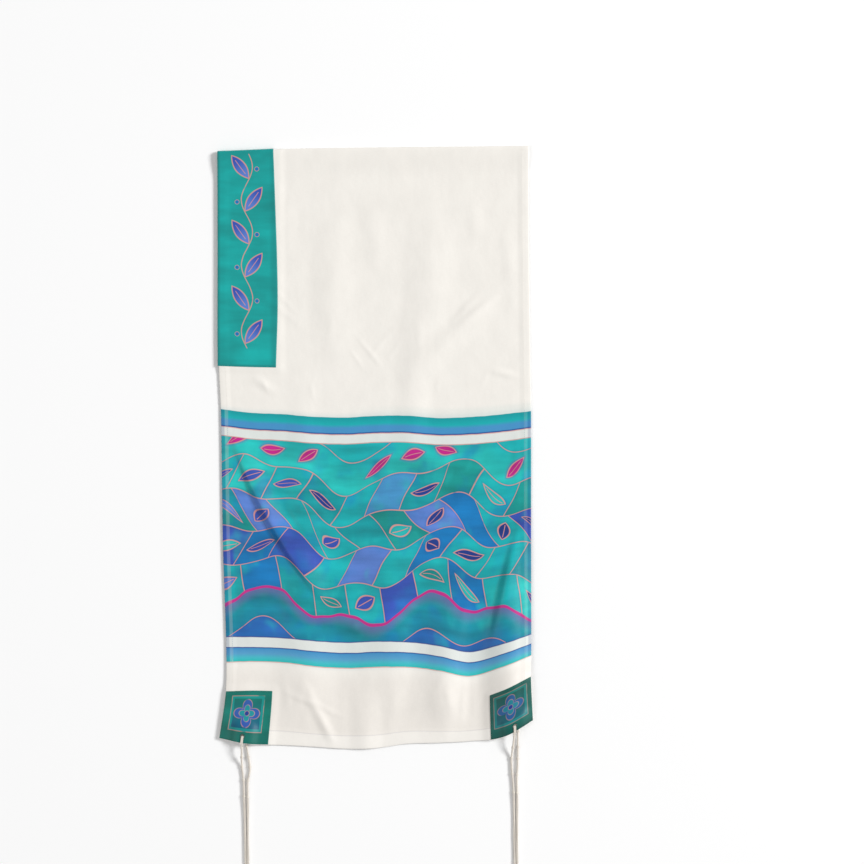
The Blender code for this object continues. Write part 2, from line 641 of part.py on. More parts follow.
def build_tassel(name, row, material):
    """Loop, wound head and eight loose strands, joined into one body."""
    head = make_object(name, *head_parts(row), material)
    loop_shape = loop_band(*loop_points(row["hole"], row["layer"], first_knot_of(row)))
    loop = make_object(f"loop_of_{name}", *loop_shape, material)
    strands = make_object(f"strands_of_{name}", *combine(strand_parts(row)), material)
    cut_or_join(head, "UNION", loop)
    cut_or_join(head, "UNION", strands)
    return head


def centre_on_origin(things):
    """Move all points so that the whole stands with its bottom centre at the origin."""
    bpy.context.view_layer.update()
    graph = bpy.context.evaluated_depsgraph_get()
    corners = []
    for thing in things:
        mesh = thing.evaluated_get(graph).to_mesh()
        corners.append(np.array([vert.co[:] for vert in mesh.vertices]))
    points = np.concatenate(corners)
    low = points.min(axis=0)
    high = points.max(axis=0)
    shift = np.array([-(low[0] + high[0]) / 2.0, -(low[1] + high[1]) / 2.0, -low[2]])
    for thing in bpy.data.objects:
        for vert in thing.data.vertices:
            vert.co = [value + move for value, move in zip(vert.co, shift)]
    print("shift", shift.tolist(), "size", (high - low).tolist())


def main():
    """Build every piece of the shawl."""
    clear_scene()
    materials = {name: make_material(name) for name in COLOURS}
    tassels = {name: dict(zip(TASSEL_COLUMNS, row)) for name, row in TASSELS.items()}
    things = [build_cloth(materials["white_silk"], tassels), build_neckband(materials["teal_silk"])]
    for name, row in tassels.items():
        patch = name.replace("tassel", "patch")
        is_right = row["side"] == 1
        things.append(build_patch(patch, row["layer"], is_right, row["hole"], materials["dark_teal_silk"]))
        things.append(build_tassel(name, row, materials["cream_wool"]))
    centre_on_origin(things)


main()
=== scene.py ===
"""A silk tallit prayer shawl, folded once and laid flat: the dressed model over its CAD frame.

The body cloth, the neckband, the corner patches and the tassels are made again with fine meshes
on the forms of their solids. Sewing, eyelets, painted silk and twisted wool are added.
Shapes are worked out in millimetres from the fold and the centre line, and made in metres.
"""

import logging
import math
from dataclasses import dataclass, field
from enum import Enum
from typing import Callable, Dict, List, Optional, Sequence, Tuple, Union

import bpy
import numpy as np
from bpy.types import Material, Node, NodeSocket, Object
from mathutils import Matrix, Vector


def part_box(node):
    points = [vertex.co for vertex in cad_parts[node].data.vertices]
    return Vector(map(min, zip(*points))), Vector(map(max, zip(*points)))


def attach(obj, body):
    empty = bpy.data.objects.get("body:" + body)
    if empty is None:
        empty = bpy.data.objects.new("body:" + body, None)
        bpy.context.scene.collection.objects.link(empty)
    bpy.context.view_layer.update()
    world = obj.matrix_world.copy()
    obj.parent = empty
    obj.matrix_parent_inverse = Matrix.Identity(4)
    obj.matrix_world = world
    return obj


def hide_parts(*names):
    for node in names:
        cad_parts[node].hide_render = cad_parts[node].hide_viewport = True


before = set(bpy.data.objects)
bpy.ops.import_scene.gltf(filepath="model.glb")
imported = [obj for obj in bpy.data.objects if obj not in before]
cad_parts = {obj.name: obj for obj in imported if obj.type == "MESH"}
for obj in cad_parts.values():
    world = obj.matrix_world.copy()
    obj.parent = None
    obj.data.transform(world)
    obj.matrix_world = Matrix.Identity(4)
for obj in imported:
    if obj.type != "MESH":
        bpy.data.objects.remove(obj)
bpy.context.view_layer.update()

Array = np.ndarray
Colour = Tuple[float, float, float, float]
Faces = List[Tuple[int, ...]]
Shape = Tuple[Array, Faces]
Span = Tuple[float, float]
Zone = Tuple[float, float, float, float]
MM = 0.001
TURN = 2.0 * math.pi
UP = np.array([0.0, 0.0, 1.0])
RIGHTWARDS = np.array([1.0, 0.0, 0.0])
PATTERN_MAP = "Shawl"
BAKE_MAP = "OFBake"
BAKE_MARGIN = 0.01
PLIES = 2
PLY_DEPTH = 0.17
PAINTED_EDGE = (822.0, 421.5)
MIDLINE = (0.2499, 0.2501)
SHARP = 0.0002
LOG = logging.getLogger("shawl")


def linear(red: int, green: int, blue: int) -> Colour:
    """A colour picked on screen, from 0 to 255 each, as linear light."""
    shares = [value / 255.0 for value in (red, green, blue)]
    light = [s / 12.92 if s <= 0.04045 else ((s + 0.055) / 1.055) ** 2.4 for s in shares]
    return (light[0], light[1], light[2], 1.0)


class Dye(Enum):
    """The dyes and threads of the shawl, as linear light."""

    WHITE = linear(240, 236, 229)
    SHADED_WHITE = linear(226, 218, 210)
    HEM_WHITE = linear(246, 242, 236)
    MIST = linear(196, 212, 212)
    TURQUOISE = linear(8, 170, 174)
    AQUA = linear(30, 186, 180)
    TEAL = linear(0, 150, 156)
    SEA = linear(6, 146, 140)
    BLUE = linear(66, 144, 196)
    SKY = linear(84, 158, 200)
    LAGOON = linear(64, 184, 196)
    MID_BLUE = linear(8, 116, 180)
    INDIGO = linear(50, 80, 174)
    PERIWINKLE = linear(88, 126, 202)
    NAVY = linear(22, 54, 132)
    DEEP_BLUE = linear(0, 78, 128)
    MAGENTA = linear(196, 26, 132)
    PLUM = linear(120, 84, 170)
    GUTTA = linear(214, 146, 138)
    BAND_TEAL = linear(4, 158, 154)
    BAND_DEEP = linear(10, 124, 122)
    PATCH_TEAL = linear(0, 112, 100)
    PATCH_DEEP = linear(0, 84, 76)
    WOOL = linear(236, 229, 219)
    WHITE_THREAD = linear(238, 232, 224)


class Half(Enum):
    """Which half of the folded shawl a piece is on."""

    FRONT = 1
    BACK = -1


class Side(Enum):
    """Which long edge of the shawl a piece is at, as seen from above."""

    LEFT = 0
    RIGHT = 1


def step(value: Array) -> Array:
    """A smooth rise from 0 to 1 as the value goes from 0 to 1."""
    share = np.clip(value, 0.0, 1.0)
    return share * share * (3.0 - 2.0 * share)


def curve(at: Array, places: Sequence[float], values: Sequence) -> Array:
    """A smooth curve through values at the places.

    Args:
        at: Where the curve is read.
        places: Rising places where it is known.
        values: Its value at each place, each a number or an array like at.

    Returns:
        The curve's value at each point of at.
    """
    known = [np.asarray(value, dtype=float) + 0.0 * at for value in values]
    last = len(places) - 1
    pairs = [(max(index - 1, 0), min(index + 1, last)) for index in range(last + 1)]
    slopes = [(known[high] - known[low]) / (places[high] - places[low]) for low, high in pairs]
    found = known[0]
    for index in range(last):
        span = places[index + 1] - places[index]
        t = np.clip((at - places[index]) / span, 0.0, 1.0)
        left = (1.0 - t) ** 2
        start = left * ((1.0 + 2.0 * t) * known[index] + t * span * slopes[index])
        end = step(t) * known[index + 1] - t * t * (1.0 - t) * span * slopes[index + 1]
        found = np.where(at >= places[index], start + end, found)
    return found


def unit(vectors: Array) -> Array:
    """Vectors scaled to a length of one, over the last axis."""
    return vectors / np.linalg.norm(vectors, axis=-1, keepdims=True)


def lengths_along(path: Array) -> Array:
    """How far along a path each of its points lies."""
    return np.concatenate([[0.0], np.cumsum(np.linalg.norm(np.diff(path, axis=0), axis=1))])


def grid_lines(start: float, stop: float, spacing: float, needed: Sequence[float]) -> Array:
    """Evenly spread lines between two places that also hold every needed place.

    Args:
        start: First line.
        stop: Last line.
        spacing: About how far apart the lines are.
        needed: Places that must have a line of their own.

    Returns:
        The sorted places of all lines.
    """
    count = max(int(round((stop - start) / spacing)), 1)
    even = np.linspace(start, stop, count + 1)
    must = np.array(sorted({start, stop, *[place for place in needed if start <= place <= stop]}))
    free = [place for place in even if np.abs(must - place).min() > 0.45 * spacing]
    return np.array(sorted([*must, *free]))


@dataclass
class EvenMap:
    """Heights on an even grid, read between its points."""

    x: Array
    y: Array
    heights: Array

    def read(self, x: Array, y: Array) -> Array:
        """The height at places in the grid."""
        across = np.clip((x - self.x[0]) / (self.x[1] - self.x[0]), 0.0, len(self.x) - 1.001)
        down = np.clip((y - self.y[0]) / (self.y[1] - self.y[0]), 0.0, len(self.y) - 1.001)
        j, i = across.astype(int), down.astype(int)
        u, v = across - j, down - i
        near = self.heights[i, j] * (1.0 - u) + self.heights[i, j + 1] * u
        far = self.heights[i + 1, j] * (1.0 - u) + self.heights[i + 1, j + 1] * u
        return near * (1.0 - v) + far * v


@dataclass
class Ridge:
    """One soft fold of the cloth, from a start over a bend to an end, in millimetres.

    It is tallest at a share of its way, its crest goes from round to sharp, and on the lee side,
    to the left of the way down, its half width is multiplied by the lee.
    """

    start: Span
    bend: Span
    end: Span
    height: float
    half: float
    sharp: float
    tallest: float
    lee: float = 1.0
    samples: int = 17
    crest_power: float = 1.6

    def rise(self, x: Array, y: Array) -> Array:
        """Height of the fold at points seen from above.

        Args:
            x: Places from the centre line.
            y: Places from the fold.

        Returns:
            The height at each point.
        """
        t = np.linspace(0.0, 1.0, self.samples)
        px, py = (
            (1.0 - t) ** 2 * a + 2.0 * t * (1.0 - t) * b + t * t * c
            for a, b, c in zip(self.start, self.bend, self.end)
        )
        reach = (x > px.min() - self.half) & (x < px.max() + self.half)
        reach = reach & (y > py.min() - self.half) & (y < py.max() + self.half)
        height = np.zeros(x.shape)
        x, y = x[reach], y[reach]
        best = np.full(x.shape, np.inf)
        place, turned = np.zeros(x.shape), np.zeros(x.shape)
        for index in range(self.samples - 1):
            dx, dy = px[index + 1] - px[index], py[index + 1] - py[index]
            off_x, off_y = x - px[index], y - py[index]
            share = np.clip((off_x * dx + off_y * dy) / (dx * dx + dy * dy), 0.0, 1.0)
            off_x, off_y = off_x - share * dx, off_y - share * dy
            away = np.hypot(off_x, off_y)
            nearer = away < best
            place = np.where(nearer, t[index] + share * t[1], place)
            turned = np.where(nearer, off_x * dy - off_y * dx, turned)
            best = np.where(nearer, away, best)
        up = place / self.tallest
        down = (1.0 - place) / (1.0 - self.tallest) if self.tallest < 1.0 else 1.0
        half = np.where(turned < 0.0, self.half * self.lee, self.half)
        near = np.clip(1.0 - best / half, 0.0, 1.0)
        crest = (1.0 - self.sharp) * step(near) + self.sharp * near**self.crest_power
        height[reach] = self.height * step(np.minimum(up, down)) * crest
        return height


def folds(*rows: Tuple) -> Tuple[Ridge, ...]:
    """Folds from rows of their values, in the order of Ridge's fields."""
    return tuple(Ridge(*row) for row in rows)


@dataclass
class FoldedSheet:
    """The shape of the folded silk, which every sewn-on piece takes its place from."""

    width: float = 500.0
    half_length: float = 959.8
    wall: float = 0.6
    hem_rise: float = 0.2
    side_hem: float = 12.0
    bottom_hem: float = 20.0
    hem_step: float = 4.0
    fold_radius: float = 3.0
    fold_settle: float = 45.0
    layer_gap: float = 0.6
    seam_gap: float = 0.3
    back_inset: float = 1.5
    back_short: float = 2.5
    back_settle: float = 120.0
    back_crease_share: float = 0.6
    back_crease_shift: float = 12.0
    ridge_start: float = 10.0
    ridge_grow: float = 80.0
    neckband_wall: float = 1.0
    neckband_half: float = 351.5
    patch_wall: float = 1.0
    hidden_thin: float = 0.72
    patch_top: float = 882.6
    right_patch_width: float = 67.0
    hole_up: float = 10.2
    hole_radius: float = 3.0
    loop_wall: float = 1.2
    loop_gap: float = 0.5
    loop_lift: float = 1.7
    floor_gap: float = 0.15
    lift_margin: float = 1.0
    lift_fall: float = 13.0
    probe: float = 0.0008
    sag_lines: Tuple[int, int] = (201, 481)
    relief_across: Tuple[float, float, int] = (-270.0, 270.0, 433)
    relief_along: Tuple[float, float, int] = (-20.0, 1010.0, 825)
    shift: Array = field(default_factory=lambda: np.zeros(3))

    # Zones where something lies between or under the layers: left, right, near and far edge
    band_zone: Zone = (-10.0, 95.0, -50.0, neckband_half)
    patch_zones: Tuple[Zone, ...] = (
        (-10.0, 78.0, patch_top, half_length),
        (width - right_patch_width, 520.0, patch_top, half_length),
    )
    loop_zones: Tuple[Zone, ...] = (
        (28.0, 48.0, half_length - bottom_hem, half_length),
        (460.0, 482.0, half_length - bottom_hem, half_length),
    )

    # How far along from the fold, both long edges, and the sag at each tenth of the width
    outline: Tuple = (
        (0.0, -251.1, 246.6, 6.6, 4.3, 2.1, 0.8, 0.0, -0.6, -1.3, -1.6, -2.1, -2.7, -3.2),
        (160.8, -250.8, 247.3, 0.5, 1.5, 1.5, 1.4, 1.4, 0.3, -0.3, 0.9, 0.0, -1.7, -4.2),
        (351.5, -250.6, 249.6, -1.0, 0.6, 1.5, 2.2, 3.0, 1.4, 0.8, 3.8, 2.5, -0.4, -5.6),
        (430.9, -247.6, 250.7, -9.5, -3.5, -1.2, 2.9, 4.2, 1.6, 1.3, 5.0, 3.5, -0.5, -6.5),
        (643.1, -244.4, 250.8, -8.4, -4.5, -2.0, 1.0, 2.5, 1.0, 1.0, 5.5, 8.0, 3.0, -8.0),
        (810.3, -239.0, 251.0, -7.2, -7.1, -5.3, -0.3, 2.3, 0.1, 1.4, 7.2, 17.2, 4.0, -13.4),
        (882.6, -239.8, 250.4, -9.6, -10.6, -8.0, 0.8, 2.9, 1.4, -1.3, 1.9, 6.1, -10.1, -33.8),
        (959.8, -250.5, 254.0, -11.3, -2.1, -0.3, 2.4, 5.6, 4.5, -2.4, -3.9, -6.6, -12.9, -40.2),
    )
    # Width of the neckband, and below it of the left patches, at distances from the fold
    left_piece: Tuple[Span, ...] = (
        (0.0, 88.3), (235.0, 94.9), (351.5, 91.6), (500.0, 86.0), (800.0, 76.0), (959.8, 78.0),
    )
    # Start, bend, end, height, half width, sharpness, tallest share and lee of each fold
    front_ridges: Tuple[Ridge, ...] = folds(
        ((118, 640), (106, 810), (98, 965), 4.2, 52, 0.0, 0.7),
        ((222, 600), (214, 800), (214, 1040), 13.6, 52, 0.0, 0.6),
        ((-238, 436), (-190, 604), (-48, 772), 9.0, 36, 0.2, 0.44, 0.22),
        ((244, 566), (210, 690), (184, 826), 7.6, 42, 0.1, 0.5, 0.3),
        ((-224, 790), (-212, 880), (-213, 965), 5.0, 42, 0.0, 1.0),
        ((-132, 410), (-118, 700), (-108, 968), 5.0, 58, 0.0, 0.8),
        ((15, 330), (26, 660), (22, 965), 5.0, 52, 0.0, 0.7),
        ((-132, 840), (-90, 905), (-62, 968), 3.0, 13, 0.6, 0.7),
        ((214, 215), (130, 300), (30, 395), 3.5, 30, 0.2, 0.4),
        ((-204, 366), (-180, 378), (-152, 398), 2.0, 12, 0.5, 0.5),
        ((178, 358), (208, 362), (240, 369), 1.6, 9, 0.4, 0.5),
        ((92, 30), (98, 250), (70, 430), 3.2, 50, 0.0, 0.5),
        ((-62, 30), (-76, 240), (-58, 420), 2.6, 42, 0.0, 0.5),
    )
    back_ridges: Tuple[Ridge, ...] = folds(
        ((-112, 300), (-118, 520), (-104, 780), 3.0, 34, 0.0, 0.6),
        ((60, 180), (66, 420), (48, 700), 2.5, 36, 0.0, 0.5),
        ((128, 560), (120, 780), (112, 962), 4.0, 38, 0.0, 0.8),
        ((-20, 720), (-12, 860), (-16, 962), 3.0, 30, 0.0, 1.0),
    )
    # Small creases that the solid leaves out
    fine_creases: Tuple[Ridge, ...] = folds(
        ((-40, 292), (-14, 322), (18, 362), 0.9, 7, 0.3, 0.6, 0.6),
        ((-48, 312), (-34, 336), (-14, 362), 0.7, 6, 0.3, 0.6, 0.6),
        ((-184, 366), (-178, 382), (-168, 402), 0.7, 6, 0.3, 0.5, 0.6),
        ((-106, 372), (-101, 390), (-98, 410), 0.6, 6, 0.2, 0.5, 0.6),
        ((218, 222), (150, 268), (96, 320), 1.1, 11, 0.2, 0.4, 0.7),
        ((176, 226), (136, 262), (112, 300), 0.8, 9, 0.2, 0.4, 0.7),
        ((64, 262), (76, 300), (70, 350), 0.6, 12, 0.1, 0.5, 0.8),
        ((-158, 866), (-128, 886), (-72, 902), 0.9, 10, 0.2, 0.6, 0.6),
        ((-100, 884), (-78, 912), (-36, 916), 0.9, 9, 0.2, 0.5, 0.6),
        ((-120, 846), (-104, 872), (-92, 900), 0.7, 9, 0.1, 0.5, 0.7),
        ((112, 850), (116, 886), (128, 926), 0.7, 13, 0.1, 0.5, 0.6),
        ((146, 842), (142, 880), (136, 940), 0.8, 12, 0.1, 0.6, 0.6),
        ((30, 852), (36, 892), (22, 950), 0.7, 18, 0.0, 0.5, 0.8),
        ((-26, 470), (-8, 560), (-22, 690), 0.9, 22, 0.0, 0.4, 0.7),
        ((64, 480), (92, 590), (86, 760), 1.0, 24, 0.0, 0.6, 0.7),
        ((-222, 610), (-212, 700), (-206, 800), 0.9, 13, 0.0, 0.6, 0.7),
        ((232, 430), (222, 520), (236, 600), 0.9, 14, 0.0, 0.5, 0.7),
        ((206, 96), (216, 180), (224, 300), 0.9, 20, 0.0, 0.5, 0.8),
        ((-20, 60), (0, 140), (4, 232), 0.8, 26, 0.0, 0.5, 0.8),
        ((-146, 46), (-136, 120), (-142, 216), 0.6, 22, 0.0, 0.5, 0.8),
        ((150, 60), (164, 110), (156, 190), 0.8, 18, 0.0, 0.5, 0.8),
        ((-150, 560), (-128, 600), (-92, 636), 0.8, 10, 0.2, 0.4, 0.6),
        ((160, 690), (140, 740), (132, 802), 0.9, 14, 0.1, 0.6, 0.7),
    )

    @property
    def first(self) -> float:
        """Distance from the fold where both halves begin."""
        return self.fold_radius + self.wall

    @property
    def hole_along(self) -> float:
        """Distance from the fold of the tassels' holes."""
        return self.half_length - self.hole_up

    def hole_lines(self, middle: float) -> List[float]:
        """The lines that a grid needs through and beside a hole."""
        return [middle - self.hole_radius, middle, middle + self.hole_radius]

    def row_of(self, along: float) -> float:
        """Row number on the front half of a distance from the fold."""
        return 1.0 + (along - self.first) / (self.half_length - self.first)

    def along_of(self, row: Array) -> Array:
        """Distance from the fold of a row number."""
        return self.first + np.clip(np.abs(row) - 1.0, 0.0, 1.0) * (self.half_length - self.first)

    def half_wall(self, across: Array, along: Array) -> Array:
        """Half the thickness that the wall has in the solid, which is more in the hems."""
        from_side = np.minimum(across, 1.0 - across) * self.width
        from_end = self.half_length - along
        in_side = 1.0 - np.clip((from_side - self.side_hem) / self.hem_step, 0.0, 1.0)
        in_bottom = 1.0 - np.clip((from_end - self.bottom_hem) / self.hem_step, 0.0, 1.0)
        return self.wall + self.hem_rise * np.maximum(in_side, in_bottom)

    def relief(self, half: Half) -> EvenMap:
        """Height of the folds of one half, from near the fold to past the hem."""
        lines_x, lines_y = np.linspace(*self.relief_across), np.linspace(*self.relief_along)
        x, y = np.meshgrid(lines_x, lines_y)
        if half is Half.FRONT:
            heights = sum(ridge.rise(x, y) for ridge in (*self.front_ridges, *self.fine_creases))
        else:
            later = y + self.back_crease_shift
            creases = sum(crease.rise(-x, later) for crease in self.fine_creases)
            heights = sum(ridge.rise(x, y) for ridge in self.back_ridges)
            heights = heights + self.back_crease_share * creases
        return EvenMap(lines_x, lines_y, heights)

    def sagging(self) -> EvenMap:
        """How far each place across the cloth has slipped along, from the outline's table."""
        table = np.array(self.outline)
        lines_across = np.linspace(0.0, 1.0, self.sag_lines[0])
        lines_along = np.linspace(0.0, self.half_length, self.sag_lines[1])
        across, along = np.meshgrid(lines_across, lines_along)
        tenths = [curve(along, table[:, 0], values) for values in table.T[3:]]
        sag = curve(across, np.linspace(0.0, 1.0, len(tenths)), tenths)
        return EvenMap(lines_across, lines_along, sag)

    def __post_init__(self) -> None:
        """Works out the maps that the shape is read from."""
        table = np.array(self.outline)
        self.reliefs = {half: self.relief(half) for half in Half}
        self.sag = self.sagging()
        self.left = curve(self.sag.y, table[:, 0], table[:, 1])
        self.right = curve(self.sag.y, table[:, 0], table[:, 2])

    def inside(self, across: Array, along: Array, zones: Sequence[Zone]) -> Array:
        """One inside any of the zones of the sheet, falling to zero outside them."""
        x = across * self.width
        found = np.zeros(np.broadcast(across, along).shape)
        for left, right, near, far in zones:
            dx = np.maximum(np.maximum(left - x, x - right), 0.0)
            dy = np.maximum(np.maximum(near - along, along - far), 0.0)
            here = 1.0 - step((np.hypot(dx, dy) - self.lift_margin) / self.lift_fall)
            found = np.maximum(found, here)
        return found

    def plan(self, across: Array, along: Array) -> Tuple[Array, Array]:
        """Place seen from above, from the centre line and from the fold."""
        left = np.interp(along, self.sag.y, self.left)
        right = np.interp(along, self.sag.y, self.right)
        return left + (right - left) * across, along + self.sag.read(across, along)

    def free(self, along: Array) -> Array:
        """How far the ridges have grown at a distance from the fold, from 0 to 1."""
        return step((along - self.ridge_start) / self.ridge_grow)

    def back_height(self, across: Array, along: Array) -> Array:
        """Height of the middle of the hidden layer's wall over the floor."""
        x, y = self.plan(across, along)
        band = self.inside(across, along, [self.band_zone])
        patches = self.inside(across, along, self.patch_zones)
        loops = self.inside(across, along, self.loop_zones)
        lift = (self.neckband_wall + self.seam_gap) * band
        lift = lift + (self.patch_wall + self.seam_gap) * patches
        lift = lift + (self.loop_wall + self.loop_gap + self.floor_gap) * loops
        relief = self.free(along) * self.reliefs[Half.BACK].read(x, y)
        return self.half_wall(across, along) + lift + relief

    def front_height(self, across: Array, along: Array) -> Array:
        """Height of the middle of the front layer's wall over the floor."""
        x, y = self.plan(across, along)
        apart = 2.0 * self.half_wall(across, along) + self.layer_gap
        apart = apart + self.loop_lift * self.inside(across, along, self.loop_zones)
        by_fold = 1.0 - step((along - self.fold_radius) / self.fold_settle)
        apart = apart + (2.0 * self.fold_radius - apart) * by_fold
        relief = self.free(along) * self.reliefs[Half.FRONT].read(x, y)
        return self.back_height(across, along) + apart + relief

    def middle(self, across: Array, row: Array) -> Array:
        """Middle of the wall.

        Args:
            across: Share of the width, from 0 at the left edge to 1 at the right one.
            row: From -2 at the hidden hem over -1 to 1 round the fold to 2 at the front hem.

        Returns:
            Points in millimetres, the last axis x, y and z.
        """
        across, row = np.broadcast_arrays(
            np.asarray(across, dtype=float), np.asarray(row, dtype=float)
        )
        along = self.along_of(row)
        is_back = row < 0.0
        short = np.where(is_back, self.back_short * along / self.half_length, 0.0)
        x, y = self.plan(across, along - short)
        settled = step(along / self.back_settle)
        x = x + np.where(is_back, (1.0 - 2.0 * across) * self.back_inset * settled, 0.0)
        low, high = self.back_height(across, along), self.front_height(across, along)
        turn = np.clip(row, -1.0, 1.0) * math.pi / 2.0
        round_fold = 0.5 * (low + high) + 0.5 * (high - low) * np.sin(turn)
        z = np.where(np.abs(row) > 1.0, np.where(is_back, low, high), round_fold)
        return np.stack([x, self.fold_radius * np.cos(turn) - y, z], axis=-1) + self.shift

    def outward(self, across: Array, row: Array) -> Array:
        """Outward direction of the wall: up on the front half, down on the hidden half."""
        near = self.probe
        along_row = self.middle(across, row + near) - self.middle(across, row - near)
        along_width = self.middle(across + near, row) - self.middle(across - near, row)
        return unit(np.cross(along_row, along_width))

    def inner_edge(self, row: Array) -> Array:
        """Inner edge of the neckband and of the left patches, from the left edge."""
        table = np.array(self.left_piece)
        return curve(self.along_of(row), table[:, 0], table[:, 1])

    def outer_face(self, across: Array, row: Array, out: float) -> Tuple[Array, Array]:
        """Points at a height over the cloth's outer face, and the outward directions there."""
        normal = self.outward(across, row)
        half = self.half_wall(across, self.along_of(row))
        return self.middle(across, row) + normal * (half + out)[..., None], normal


def mesh_object(
    name: str,
    points: Array,
    faces: Sequence[Sequence[int]],
    material: Material,
    pattern: Optional[Array] = None,
    angle: float = 40.0,
) -> Object:
    """A smooth mesh object from millimetre points.

    Args:
        name: Name of the piece.
        points: Its points, in millimetres.
        faces: Its faces, as point numbers.
        material: Its finish.
        pattern: For each point how far across and along the cloth it lies, in millimetres.
        angle: Edges sharper than this, in degrees, stay crisp.

    Returns:
        The object, linked to the scene.
    """
    used = np.zeros(len(points), dtype=bool)
    flat = np.fromiter((index for face in faces for index in face), dtype=np.int64)
    used[flat] = True
    number = np.cumsum(used) - 1
    kept_faces = [tuple(number[list(face)]) for face in faces]
    mesh = bpy.data.meshes.new(name)
    mesh.from_pydata((points[used] * MM).tolist(), [], kept_faces)
    mesh.materials.append(material)
    mesh.shade_smooth()
    mesh.set_sharp_from_angle(angle=math.radians(angle))
    if pattern is not None:
        low = pattern[used].min(axis=0)
        share = (pattern[flat] - low) / (pattern[used].max(axis=0) - low)
        bake_places = BAKE_MARGIN + (1.0 - 2.0 * BAKE_MARGIN) * share
        for map_name, places in ((PATTERN_MAP, pattern[flat] * MM), (BAKE_MAP, bake_places)):
            layer = mesh.uv_layers.new(name=map_name)
            layer.uv.foreach_set("vector", places.astype(np.float32).ravel())
        mesh.uv_layers.active = mesh.uv_layers[PATTERN_MAP]
        mesh.uv_layers[PATTERN_MAP].active_render = True
    piece = bpy.data.objects.new(name, mesh)
    bpy.context.scene.collection.objects.link(piece)
    return piece


def wall_faces(lined: Array, missing: Sequence[Tuple[int, int]]) -> Faces:
    """Faces of a wall over a grid, with its rim and the edge of every hole.

    Args:
        lined: For each point whether the cell that starts there has an inner face too.
        missing: Row and column of the middle point of each hole, four cells wide.

    Returns:
        Faces over the outer points, which come first, and the inner ones.
    """
    rows, columns = lined.shape
    count = rows * columns
    gone = {(i + di, j + dj) for i, j in missing for di in (-1, 0) for dj in (-1, 0)}
    faces: Faces = []
    for i in range(rows - 1):
        for j in range(columns - 1):
            if (i, j) in gone:
                continue
            a = i * columns + j
            c = a + columns
            faces.append((a, c, c + 1, a + 1))
            if lined[i, j]:
                faces.append((a + count, a + 1 + count, c + 1 + count, c + count))
    rim = list(range(columns))
    rim += [i * columns + columns - 1 for i in range(1, rows)]
    rim += [(rows - 1) * columns + j for j in range(columns - 2, -1, -1)]
    rim += [i * columns for i in range(rows - 2, 0, -1)]
    ring = ((-1, -1), (-1, 0), (-1, 1), (0, 1), (1, 1), (1, 0), (1, -1), (0, -1))
    loops = [[(i + di) * columns + j + dj for di, dj in reversed(ring)] for i, j in missing]
    for loop in (rim, *loops):
        for index, a in enumerate(loop):
            b = loop[(index + 1) % len(loop)]
            faces.append((a, b, b + count, a + count))
    return faces


@dataclass
class ClothWall:
    """A thin wall of cloth over part of the sheet."""

    sheet: FoldedSheet
    across: Array
    rows: Array
    holes: Tuple[Span, ...] = ()
    hem_only: bool = False

    def lined(self) -> Array:
        """Cells with an inner face: all, or just those where the hem is turned in."""
        if not self.hem_only:
            return np.ones(self.across.shape, dtype=bool)
        sheet = self.sheet
        x = self.across * sheet.width
        from_end = sheet.half_length - sheet.along_of(self.rows)
        in_side = (x < sheet.side_hem) | (x > sheet.width - sheet.side_hem - sheet.hem_step)
        return in_side | (from_end < sheet.bottom_hem + sheet.hem_step)

    def opened(self) -> List[Tuple[int, int]]:
        """Moves the grid's points round each hole onto its edge, and gives the middle points."""
        found = []
        radius = self.sheet.hole_radius
        run = self.sheet.half_length - self.sheet.first
        for share, row in self.holes:
            i = int(np.argmin(np.abs(self.rows[:, 0] - row)))
            j = int(np.argmin(np.abs(self.across[i] - share)))
            for di in (-1, 0, 1):
                for dj in (-1, 0, 1):
                    reach = radius / max(math.hypot(di, dj), 1.0)
                    self.across[i + di, j + dj] = share + dj * reach / self.sheet.width
                    self.rows[i + di, j + dj] = row + di * reach / run
            found.append((i, j))
        return found

    def made(self, low: Array, high: Array) -> Tuple[Array, Faces, Array]:
        """Points, faces and pattern places of the wall between two heights over its middle."""
        missing = self.opened()
        middle = self.sheet.middle(self.across, self.rows)
        normal = self.sheet.outward(self.across, self.rows)
        both = [(middle + normal * out[..., None]).reshape(-1, 3) for out in (high, low)]
        beyond = np.sign(self.rows) * self.sheet.along_of(self.rows)
        round_fold = np.clip(self.rows, -1.0, 1.0) * self.sheet.first
        along = np.where(np.abs(self.rows) > 1.0, beyond, round_fold)
        at = np.stack([self.across * self.sheet.width, along], axis=-1).reshape(-1, 2)
        faces = wall_faces(self.lined(), missing)
        return np.concatenate(both), faces, np.concatenate([at, at])


def edge_round(shape: Tuple[int, ...], shares: Sequence[float]) -> Array:
    """How much of its thickness a piece keeps near its edges, from its outermost lines inwards."""
    keep = np.ones(shape)
    for index, share in enumerate(shares):
        for line in (keep[index], keep[-1 - index], keep[:, index], keep[:, -1 - index]):
            np.minimum(line, share, out=line)
    return keep


Number = Union[float, "Signal"]
Stops = Sequence[Tuple[float, Dye]]


def maths_method(operation: str, flipped: bool = False) -> Callable[..., "Signal"]:
    """A method that makes one Math node of a signal and the numbers given to it.

    Args:
        operation: The node's operation.
        flipped: Whether the signal comes after the other numbers.

    Returns:
        The method.
    """

    def method(self: "Signal", *others: Number) -> "Signal":
        """The outcome of the Math node."""
        return self.bench.maths(operation, *((*others, self) if flipped else (self, *others)))

    return method


